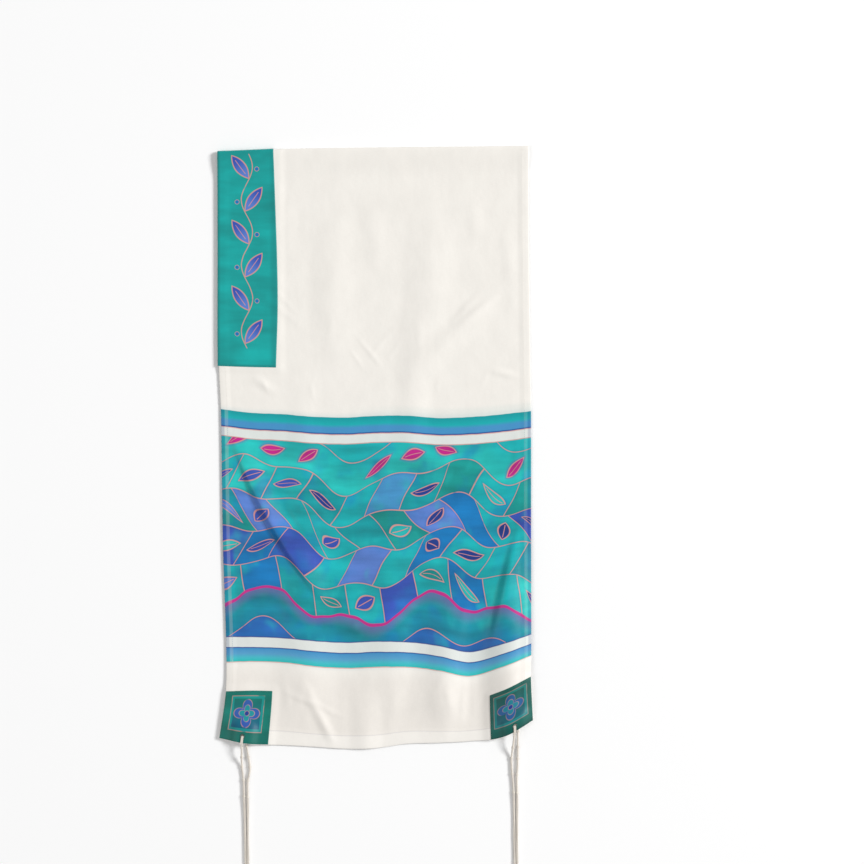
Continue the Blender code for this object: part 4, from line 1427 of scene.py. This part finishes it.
@dataclass
class Tassel:
    """One tassel: eight strings through a hole, wound, knotted and left loose."""

    sheet: FoldedSheet
    plan: TasselPlan
    seed: int
    wound_radius: float = 1.8
    core_inset: float = 0.65
    knot_radius: float = 2.6
    knot_string: float = 0.62
    knot_half: float = 1.38
    knot_step: float = 0.12
    knot_swing: float = 1.1
    string: float = 0.5
    first_knot_out: float = 7.5
    head_settle: float = 0.42
    head_turn: float = 0.2
    loop_lines: int = 7
    loop_points: int = 64
    hole_slack: float = 0.3
    knot_entry: float = 3.2
    knot_spread: float = 1.3
    strand_pitch: float = 1.3
    strand_rise: float = 1.2
    settle: float = 26.0
    wind_pitch: float = 1.02
    wind_points: int = 12
    loose_length: float = 205.0
    loose_points: int = 190
    loop_twist: float = 3.4
    core_twist: float = 5.0
    wound_twist: float = 3.0
    loose_twist: float = 4.2
    loop_places: Tuple[float, ...] = (-1.5, -0.5, 0.5, 1.5)
    knots_at: Tuple[float, ...] = (0.0, 0.18, 0.385, 0.667, 1.0)

    # Tilt and place along the string of each turn of a knot
    knot_turns: Tuple[Span, ...] = ((0.5, -0.75), (-0.5, 0.75), (0.65, 0.35), (-0.65, -0.35))

    # For each loose strand its place across and up in the bundle, and its share of the length
    strands: Tuple = (
        (-1.0, 0.0, 0.985), (0.0, 0.0, 1.0), (1.0, 0.0, 0.975), (-1.0, 1.0, 0.965),
        (0.0, 1.0, 0.99), (1.0, 1.0, 0.955), (-0.5, 2.0, 0.98), (0.5, 2.0, 0.97),
    )

    @property
    def rest(self) -> float:
        """Height of the wound head's middle where it lies on the floor."""
        return self.knot_radius + self.sheet.floor_gap

    def faces_out(self) -> Span:
        """How far the strings run from the wall's middle on its painted and its plain side."""
        sheet = self.sheet
        plain = sheet.wall + sheet.hem_rise + sheet.loop_gap + sheet.loop_wall / 2.0
        return plain + sheet.seam_gap + sheet.patch_wall, plain

    def level(self, shares: Array) -> Tuple[Array, Array]:
        """Level place in the scene at shares of the way from the first knot to the end."""
        x, y = self.plan.level_path(shares)
        return x + self.sheet.shift[0], y + self.sheet.shift[1]

    def first_knot(self) -> Array:
        """Place of the first knot, just off the hem."""
        side = self.plan.half.value
        hem = self.sheet.middle(np.array([self.plan.hole]), np.array([2.0 * side]))[0]
        painted, plain = self.faces_out()
        x = self.level(np.zeros(1))[0][0]
        return np.array([x, hem[1] - self.first_knot_out, hem[2] + side * (painted - plain) / 2.0])

    def head_path(self, shares: Array) -> Array:
        """Middle of the wound head at shares of its length."""
        start = self.first_knot()
        x, y = self.level(shares * self.plan.last_knot())
        z = start[2] + (self.rest - start[2]) * step(shares / self.head_settle)
        off = start[1] - self.level(np.zeros(1))[1][0]
        return np.stack([x, y + off * (1.0 - step(shares / self.head_turn)), z], axis=1)

    def loop_strings(self) -> List[Shape]:
        """Four strings over the hem and four under it, through the hole to the first knot."""
        sheet, half = self.sheet, self.plan.half.value
        rows = np.linspace(sheet.row_of(sheet.hole_along), 2.0, self.loop_lines) * half
        share = np.full(len(rows), self.plan.hole)
        base, normal = sheet.middle(share, rows), sheet.outward(share, rows)
        knot = self.first_knot()
        ahead = unit((knot - base[0]) * (1.0 - UP))
        up = normal.mean(axis=0) * half
        up = unit(up - ahead * (up @ ahead))
        lateral = np.cross(ahead, up)

        def run(side: float, out: float, aside: Array) -> List[Array]:
            """One string from the hole to the first knot, on the wall's side that is given."""
            line = base + normal * side * out
            rim = line[1] + (line[0] - line[1]) * 0.75
            in_hole = base[0] + normal[0] * side * (out - self.string) + ahead * self.hole_slack
            by_knot = knot + up * half * side * self.knot_spread - ahead * self.knot_entry
            return [in_hole + aside * 0.9, rim + aside, *(line[1:] + aside), by_knot + aside * 0.8]

        painted, plain = self.faces_out()
        parts = []
        for aside in (lateral * place for place in self.loop_places):
            inward = knot - aside * 0.4
            over, under = run(1.0, painted, aside), run(-1.0, plain, aside)
            rough = np.array([inward, *reversed(over), base[0] + aside * 0.85, *under, inward])
            gone = lengths_along(rough)
            rising = gone + np.arange(len(gone)) * 1e-6
            at = np.linspace(0.0, gone[-1], self.loop_points)
            smooth = np.stack([curve(at, rising, line) for line in rough.T], axis=1)
            parts.append(yarn(smooth, self.string, 6, lateral, self.loop_twist))
        return parts

    def windings(self) -> List[Shape]:
        """The core, and the string wound round it between the knots."""
        core = self.head_path(np.linspace(0.0, 1.0, 30))
        core_radius = self.wound_radius - self.core_inset
        parts = [yarn(core, core_radius, 8, RIGHTWARDS, self.core_twist)]
        length = float(lengths_along(core)[-1])
        for start, end in zip(self.knots_at[:-1], self.knots_at[1:]):
            low, high = start + self.knot_half / length, end - self.knot_half / length
            turns = max(round((high - low) * length / self.wind_pitch), 3)
            count = turns * self.wind_points + 1
            middle = self.head_path(np.linspace(low, high, count))
            side, up = beside(unit(np.gradient(middle, axis=0)))
            around = spoke(np.linspace(0.0, turns * TURN, count), side, up)
            path = middle + around * (self.wound_radius - self.string)
            parts.append(yarn(path, self.string, 5, up[0], self.wound_twist))
        return parts

    def knots(self) -> List[Shape]:
        """Five double knots, each of crossing turns of string round the core."""
        parts = []
        angles = np.linspace(0.0, TURN, 22)
        for number, share in enumerate(self.knots_at):
            near = np.array([max(share - 0.02, 0.0), share, min(share + 0.02, 1.0)])
            before, middle, after = self.head_path(near)
            ahead = unit(after - before)
            around = spoke(angles, *beside(ahead))
            for index, (tilt, along) in enumerate(self.knot_turns):
                reach = self.knot_radius - self.knot_string - self.knot_step * (index // 2)
                roll = 0.8 * number + 1.57 * index
                swing = np.cos(angles + roll)[:, None] * math.tan(tilt) * self.knot_swing
                path = middle + ahead * (along + swing) + around * reach
                parts.append(yarn(path, self.knot_string, 6, ahead, self.wound_twist))
        return parts

    def loose_strands(self) -> List[Shape]:
        """Eight loose strands of twisted wool, from the last knot to their ends."""
        parts = []
        chance = np.random.default_rng(self.seed)
        share = self.plan.last_knot()
        run = np.linspace(0.0, 1.0, self.loose_points)
        gone = run * self.loose_length
        radius = self.string * np.where(run > 0.985, 0.8, 1.0)
        spread = 1.0 + 0.45 * step((run - 0.45) / 0.55)

        def wave(low: float, high: float) -> Array:
            """A wave along the strand, its length and its start drawn by chance."""
            return np.sin(gone / chance.uniform(low, high) + chance.uniform(0.0, 6.0))

        for across, up, length in self.strands:
            x, y = self.level(share + run * (length - share))
            low = self.string + self.sheet.floor_gap + up * self.strand_rise
            high = self.rest + (up - 1.0) * self.strand_rise
            x = x + across * self.strand_pitch * spread + 0.22 * wave(9.0, 17.0) * step(gone / 30.0)
            z = high + (low - high) * step(gone / self.settle) + 0.1 * (1.0 + wave(11.0, 19.0))
            path = np.stack([x, y, z], axis=1)
            parts.append(yarn(path, radius, 6, RIGHTWARDS, self.loose_twist))
        return parts

    def build(self, wool: Material) -> Object:
        """The tassel as one piece."""
        parts = self.loop_strings() + self.windings() + self.knots() + self.loose_strands()
        piece = mesh_object(f"{self.plan.name}_wool", *combined(parts), wool, angle=80.0)
        return declared(piece, [self.plan.name])


@dataclass
class BodyCloth:
    """The folded white silk with its hems, holes and hem stitches."""

    sheet: FoldedSheet
    spacing_across: float = 3.15
    front_spacing: float = 3.0
    back_spacing: float = 5.6
    fold_lines: int = 15
    edges: Span = (0.7, 1.8)
    keeps: Span = (0.45, 0.8)
    inner_face: float = 0.2
    thin_rate: float = 30.0
    side_stitch_in: float = 1.6
    end_stitch_in: float = 1.8
    stitch_clear: float = 3.0
    front_stitch_out: float = 0.05
    back_stitch_out: float = -0.19

    def lines_across(self) -> Array:
        """Grid lines across the cloth, as shares of its width."""
        sheet = self.sheet
        needed = [*self.edges, sheet.side_hem, sheet.side_hem + sheet.hem_step]
        needed = needed + [sheet.width - place for place in needed]
        for plan in TASSEL_PLANS:
            needed += sheet.hole_lines(plan.hole * sheet.width)
        return grid_lines(0.0, sheet.width, self.spacing_across, needed) / sheet.width

    def lines_along(self, spacing: float) -> Array:
        """Row numbers of the grid lines along one half, about a spacing apart."""
        sheet = self.sheet
        hem = sheet.half_length - sheet.bottom_hem
        needed = [hem - sheet.hem_step, hem, *sheet.hole_lines(sheet.hole_along)]
        needed += [sheet.half_length - edge for edge in self.edges]
        lines = grid_lines(sheet.first, sheet.half_length, spacing, needed)
        return np.array([sheet.row_of(place) for place in lines[1:]])

    def build(self, silk: Material) -> Object:
        """The cloth."""
        sheet = self.sheet
        front, back = self.lines_along(self.front_spacing), self.lines_along(self.back_spacing)
        rows = np.concatenate([-back[::-1], np.linspace(-1.0, 1.0, self.fold_lines), front])
        across, rows = np.meshgrid(self.lines_across(), rows)
        hole = sheet.row_of(sheet.hole_along)
        holes = tuple((plan.hole, hole * plan.half.value) for plan in TASSEL_PLANS)
        wall = ClothWall(sheet, across, rows, holes, hem_only=True)
        thick = sheet.half_wall(across, sheet.along_of(rows))
        keep = edge_round(thick.shape, self.keeps)
        thin = 1.0 - (1.0 - sheet.hidden_thin) * step(-(rows + 1.0) * self.thin_rate)
        points, faces, at = wall.made(-self.inner_face * thick * keep, thick * keep * thin)
        piece = mesh_object("cloth_silk", points, faces, silk, at)
        return declared(piece, ["cloth"])

    def hem_stitches(self, thread: Material) -> Object:
        """Stitch rows beside the side hems and the bottom hems."""
        sheet = self.sheet
        parts = []
        side_in = sheet.side_hem - self.side_stitch_in
        hem_row = sheet.row_of(sheet.half_length - sheet.bottom_hem + self.end_stitch_in)
        side_end = sheet.row_of(sheet.patch_top - 2.0)
        left_start = sheet.row_of(sheet.neckband_half + self.stitch_clear)
        inner = float(sheet.inner_edge(np.array([1.97]))[0]) + self.stitch_clear
        outer = sheet.width - sheet.right_patch_width - self.stitch_clear
        for half in Half:
            out = self.front_stitch_out if half is Half.FRONT else self.back_stitch_out
            for x, start in ((side_in, left_start), (sheet.width - side_in, 1.0)):
                rows = np.linspace(start, side_end, 260) * half.value
                across = np.full(len(rows), x / sheet.width)
                parts.append(Seam(sheet, across, rows, out).made())
            across = np.linspace(inner, outer, 200) / sheet.width
            rows = np.full(len(across), hem_row * half.value)
            parts.append(Seam(sheet, across, rows, out).made())
        return declared(mesh_object("hem_stitches", *combined(parts), thread))


@dataclass
class SewnPiece:
    """What a neckband and a patch share: a strip of cloth sewn on the outer face."""

    sheet: FoldedSheet
    wall: float = 0.8
    stitch_in: float = 2.2
    stitch_pitch: float = 2.6
    stitch_length: float = 1.7
    stitch_rise: float = 0.03
    end_points: int = 40
    edges: Tuple[float, ...] = (0.0, 0.6, 1.6)
    keeps: Span = (0.35, 0.8)

    @property
    def stitch_out(self) -> float:
        """Height of the stitches over the body cloth's outer face."""
        return self.sheet.seam_gap + self.wall + self.stitch_rise

    def wall_piece(
        self, name: str, across: Array, rows: Array, silk: Material, holes: Tuple = ()
    ) -> Object:
        """The strip over a grid, with rounded folded edges.

        Args:
            name: Name of the piece.
            across: Share of the cloth's width at each grid point.
            rows: Row number at each grid point.
            silk: Its finish.
            holes: Share of the width and row number of each hole.

        Returns:
            The piece.
        """
        half_wall = self.sheet.half_wall(np.clip(across, 0.0, 1.0), self.sheet.along_of(rows))
        low = half_wall + self.sheet.seam_gap
        keep = edge_round(low.shape, self.keeps)
        cloth = ClothWall(self.sheet, across, rows, holes)
        points, faces, at = cloth.made(low, low + self.wall * keep)
        return mesh_object(name, points, faces, silk, at)

    def seam(self, across: Array, rows: Array) -> Shape:
        """One row of stitches on the strip."""
        size = (self.stitch_out, self.stitch_pitch, self.stitch_length)
        return Seam(self.sheet, across, rows, *size).made()

    def border(self, left: Array, right: Array, rows: Array) -> List[Shape]:
        """Rows of stitches along two lines and across both of their ends."""
        count = self.end_points
        ends = [(np.linspace(left[end], right[end], count), rows[end]) for end in (0, -1)]
        sides = [self.seam(left, rows), self.seam(right, rows)]
        return sides + [self.seam(line, np.full(count, row)) for line, row in ends]


@dataclass
class Neckband(SewnPiece):
    """The neckband over the fold along the left edge."""

    overhang: float = 2.0
    usual_width: float = 92.0
    spacing_across: float = 4.2
    spacing_along: float = 4.4
    fold_lines: int = 17

    def build(self, silk: Material) -> Object:
        """The band."""
        sheet = self.sheet
        ends = [sheet.neckband_half - edge for edge in self.edges]
        half = grid_lines(sheet.first, sheet.neckband_half, self.spacing_along, ends)
        front = np.array([sheet.row_of(place) for place in half[1:]])
        rows = np.concatenate([-front[::-1], np.linspace(-1.0, 1.0, self.fold_lines), front])
        needed = [*self.edges, *[self.usual_width - edge for edge in self.edges]]
        lines = grid_lines(0.0, self.usual_width, self.spacing_across, needed)
        shares, grid_rows = np.meshgrid(lines / self.usual_width, rows)
        inner = sheet.inner_edge(rows)[:, None]
        across = (-self.overhang + shares * (inner + self.overhang)) / sheet.width
        piece = self.wall_piece("neckband_silk", across, grid_rows, silk)
        return declared(piece, ["neckband"])

    def stitches(self, thread: Material) -> Object:
        """One row of stitches inside the band's border, all the way round."""
        sheet = self.sheet
        end = sheet.row_of(sheet.neckband_half - self.stitch_in)
        front, fold = np.linspace(1.0, end, 200), np.linspace(-1.0, 1.0, 20)[1:-1]
        rows = np.concatenate([-front[::-1], fold, front])
        inner = (sheet.inner_edge(rows) - self.stitch_in) / sheet.width
        outer = np.full(len(rows), (self.stitch_in - self.overhang) / sheet.width)
        shape = combined(self.border(outer, inner, rows))
        return declared(mesh_object("neckband_stitches", *shape, thread))


@dataclass
class CornerPatch(SewnPiece):
    """A square patch on the outer face of one corner, with an eyelet for its tassel."""

    plan: TasselPlan = TASSEL_PLANS[0]
    inset: float = 0.6
    spacing: float = 4.0
    side_points: int = 60
    eyelet_stitches: int = 26
    eyelet: Tuple[float, ...] = (-0.1, 0.9, 1.9)
    eyelet_thread: Tuple[float, ...] = (1.6, 1.9, 0.26)

    @property
    def name(self) -> str:
        """The name of the patch's CAD node."""
        return self.plan.name.replace("tassel", "patch")

    def span(self, rows: Array) -> Tuple[Array, Array]:
        """Left and right edge of the patch, in millimetres from the cloth's left edge."""
        sheet = self.sheet
        if self.plan.side is Side.LEFT:
            return np.full_like(rows, self.inset), sheet.inner_edge(rows)
        start = sheet.width - sheet.right_patch_width
        return np.full_like(rows, start), np.full_like(rows, sheet.width - self.inset)

    def build(self, silk: Material) -> Object:
        """The patch."""
        sheet, half = self.sheet, self.plan.half.value
        end = sheet.half_length - self.inset
        needed = [*sheet.hole_lines(sheet.hole_along)]
        needed += [place for edge in self.edges for place in (sheet.patch_top + edge, end - edge)]
        places = grid_lines(sheet.patch_top, end, self.spacing, needed)
        rows = np.sort(np.array([sheet.row_of(place) for place in places]) * half)
        left, right = self.span(rows)
        width = float(right[0] - left[0])
        needed = [*self.edges, *[width - edge for edge in self.edges]]
        needed += sheet.hole_lines(self.plan.hole * sheet.width - float(left[0]))
        lines = grid_lines(0.0, width, self.spacing, needed)
        shares, grid_rows = np.meshgrid(lines / width, rows)
        across = (left[:, None] + shares * (right - left)[:, None]) / sheet.width
        holes = ((self.plan.hole, sheet.row_of(sheet.hole_along) * half),)
        piece = self.wall_piece(f"{self.name}_silk", across, grid_rows, silk, holes)
        return declared(piece, [self.name])

    def stitches(self, thread: Material) -> Object:
        """The row of stitches round the patch, and the eyelet sewn round its hole."""
        sheet, half = self.sheet, self.plan.half.value
        low = sheet.row_of(sheet.patch_top + self.stitch_in) * half
        high = sheet.row_of(sheet.half_length - self.inset - self.stitch_in) * half
        rows = np.linspace(low, high, self.side_points)
        left, right = self.span(rows)
        left, right = (left + self.stitch_in) / sheet.width, (right - self.stitch_in) / sheet.width
        parts = self.border(left, right, rows)
        hole = sheet.row_of(sheet.hole_along) * half
        run = sheet.half_length - sheet.first
        reach = sheet.hole_radius + np.array(self.eyelet)
        for angle in np.linspace(0.0, TURN, self.eyelet_stitches + 1)[:-1]:
            across = self.plan.hole + np.cos(angle) * reach / sheet.width
            along = hole + np.sin(angle) * reach / run
            parts.append(Seam(sheet, across, along, self.stitch_out, *self.eyelet_thread).made())
        piece = mesh_object(f"{self.name}_stitches", *combined(parts), thread)
        return declared(piece)


@dataclass
class Studio:
    """The floor, the light and the camera straight above, on the photograph's frame."""

    sheet: FoldedSheet
    frame_width: float = 1.3891
    frame_right: float = 91.6
    frame_down: float = 456.6
    height: float = 5.0
    sensor: float = 36.0
    floor_reach: float = 30000.0
    floor_height: float = -0.05
    world_light: float = 0.40
    aim: Tuple[float, float, float] = (0.0, 0.1, 0.0)

    def floor(self) -> Object:
        """A wide pale floor just under the shawl."""
        corners = ((-1, -1), (1, -1), (1, 1), (-1, 1))
        reach = self.floor_reach
        points = np.array([[x * reach, y * reach, self.floor_height] for x, y in corners])
        plane = mesh_object("studio_floor", points, [(0, 1, 2, 3)], FloorFinish().make())
        return plane

    def lamp(self, name: str, place: Tuple[float, ...], size: float, power: float) -> None:
        """A soft square lamp that faces the middle of the shawl."""
        data = bpy.data.lights.new(name, "AREA")
        data.size = size
        data.energy = power
        lamp = bpy.data.objects.new(name, data)
        lamp.location = place
        x, y, z = np.array(place) - np.array(self.aim)
        lamp.rotation_euler = (math.atan2(math.hypot(x, y), z), 0.0, math.atan2(x, -y))
        bpy.context.scene.collection.objects.link(lamp)

    def light(self) -> None:
        """Soft light from the right, as the creases show it, with fill from all round."""
        self.lamp("key", (9.3, 3.0, 7.0), 3.2, 1240.0)
        self.lamp("fill", (-3.0, -0.6, 4.0), 2.4, 40.0)
        world = bpy.data.worlds.new("studio")
        world.use_nodes = True
        background = world.node_tree.nodes["Background"]
        background.inputs[0].default_value = (1.0, 1.0, 1.0, 1.0)
        background.inputs[1].default_value = self.world_light
        bpy.context.scene.world = world
        bpy.context.scene.view_settings.view_transform = "Standard"

    def camera(self) -> None:
        """A long lens straight above the photograph's frame."""
        data = bpy.data.cameras.new("camera")
        data.sensor_width = self.sensor
        data.lens = self.sensor * self.height / self.frame_width
        data.clip_end = 50.0
        camera = bpy.data.objects.new("camera", data)
        x = (self.frame_right + self.sheet.shift[0]) * MM
        y = (-self.frame_down + self.sheet.shift[1]) * MM
        camera.location = (x, y, self.height)
        bpy.context.scene.collection.objects.link(camera)
        bpy.context.scene.camera = camera


def fitted_sheet() -> FoldedSheet:
    """The sheet, moved to where the CAD cloth lies."""
    sheet = FoldedSheet()
    low, high = (np.array(corner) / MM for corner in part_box("cloth"))
    across = np.linspace(0.0, 1.0, 101)[None, :]
    rows = np.linspace(-2.0, 2.0, 401)[:, None]
    outer = sheet.outer_face(across, rows, 0.0)[0].reshape(-1, 3)
    shift = (low + high - outer.min(axis=0) - outer.max(axis=0)) / 2.0
    sheet.shift = np.array([shift[0], shift[1], 0.0])
    LOG.info("moved by %s mm", np.round(sheet.shift, 3))
    return sheet


def main() -> None:
    """Builds the shawl piece by piece, then the studio round it."""
    logging.basicConfig(level=logging.INFO, format="%(message)s")
    sheet = fitted_sheet()
    silk = SilkFinish()
    width = sheet.width * MM
    body_silk = PaintedSilk(silk, width, sheet.half_length * MM).make()
    band_silk = NeckbandSilk(silk).make()
    patch_silk = PatchSilk(silk, width).make()
    wool = YarnFinish("cream_wool_yarn", Dye.WOOL).make()
    painted = tuple((sheet.shift[1] - place) * MM for place in PAINTED_EDGE)
    hem_thread = HemThreadFinish(painted).make()
    teal_thread = YarnFinish("teal_thread", Dye.BAND_DEEP, 0.6).make()
    dark_thread = YarnFinish("dark_thread", Dye.PATCH_DEEP, 0.6).make()

    body = BodyCloth(sheet)
    cloth = body.build(body_silk)
    hems = body.hem_stitches(hem_thread)

    band = Neckband(sheet)
    neckband = band.build(band_silk)
    band_seam = band.stitches(teal_thread)

    for number, plan in enumerate(TASSEL_PLANS):
        corner = CornerPatch(sheet, plan=plan)
        patch = corner.build(patch_silk)
        seam = corner.stitches(dark_thread)
        Tassel(sheet, plan, number + 5).build(wool)

    studio = Studio(sheet)
    studio.floor()
    studio.light()
    studio.camera()


if __name__ == "__main__":
    main()
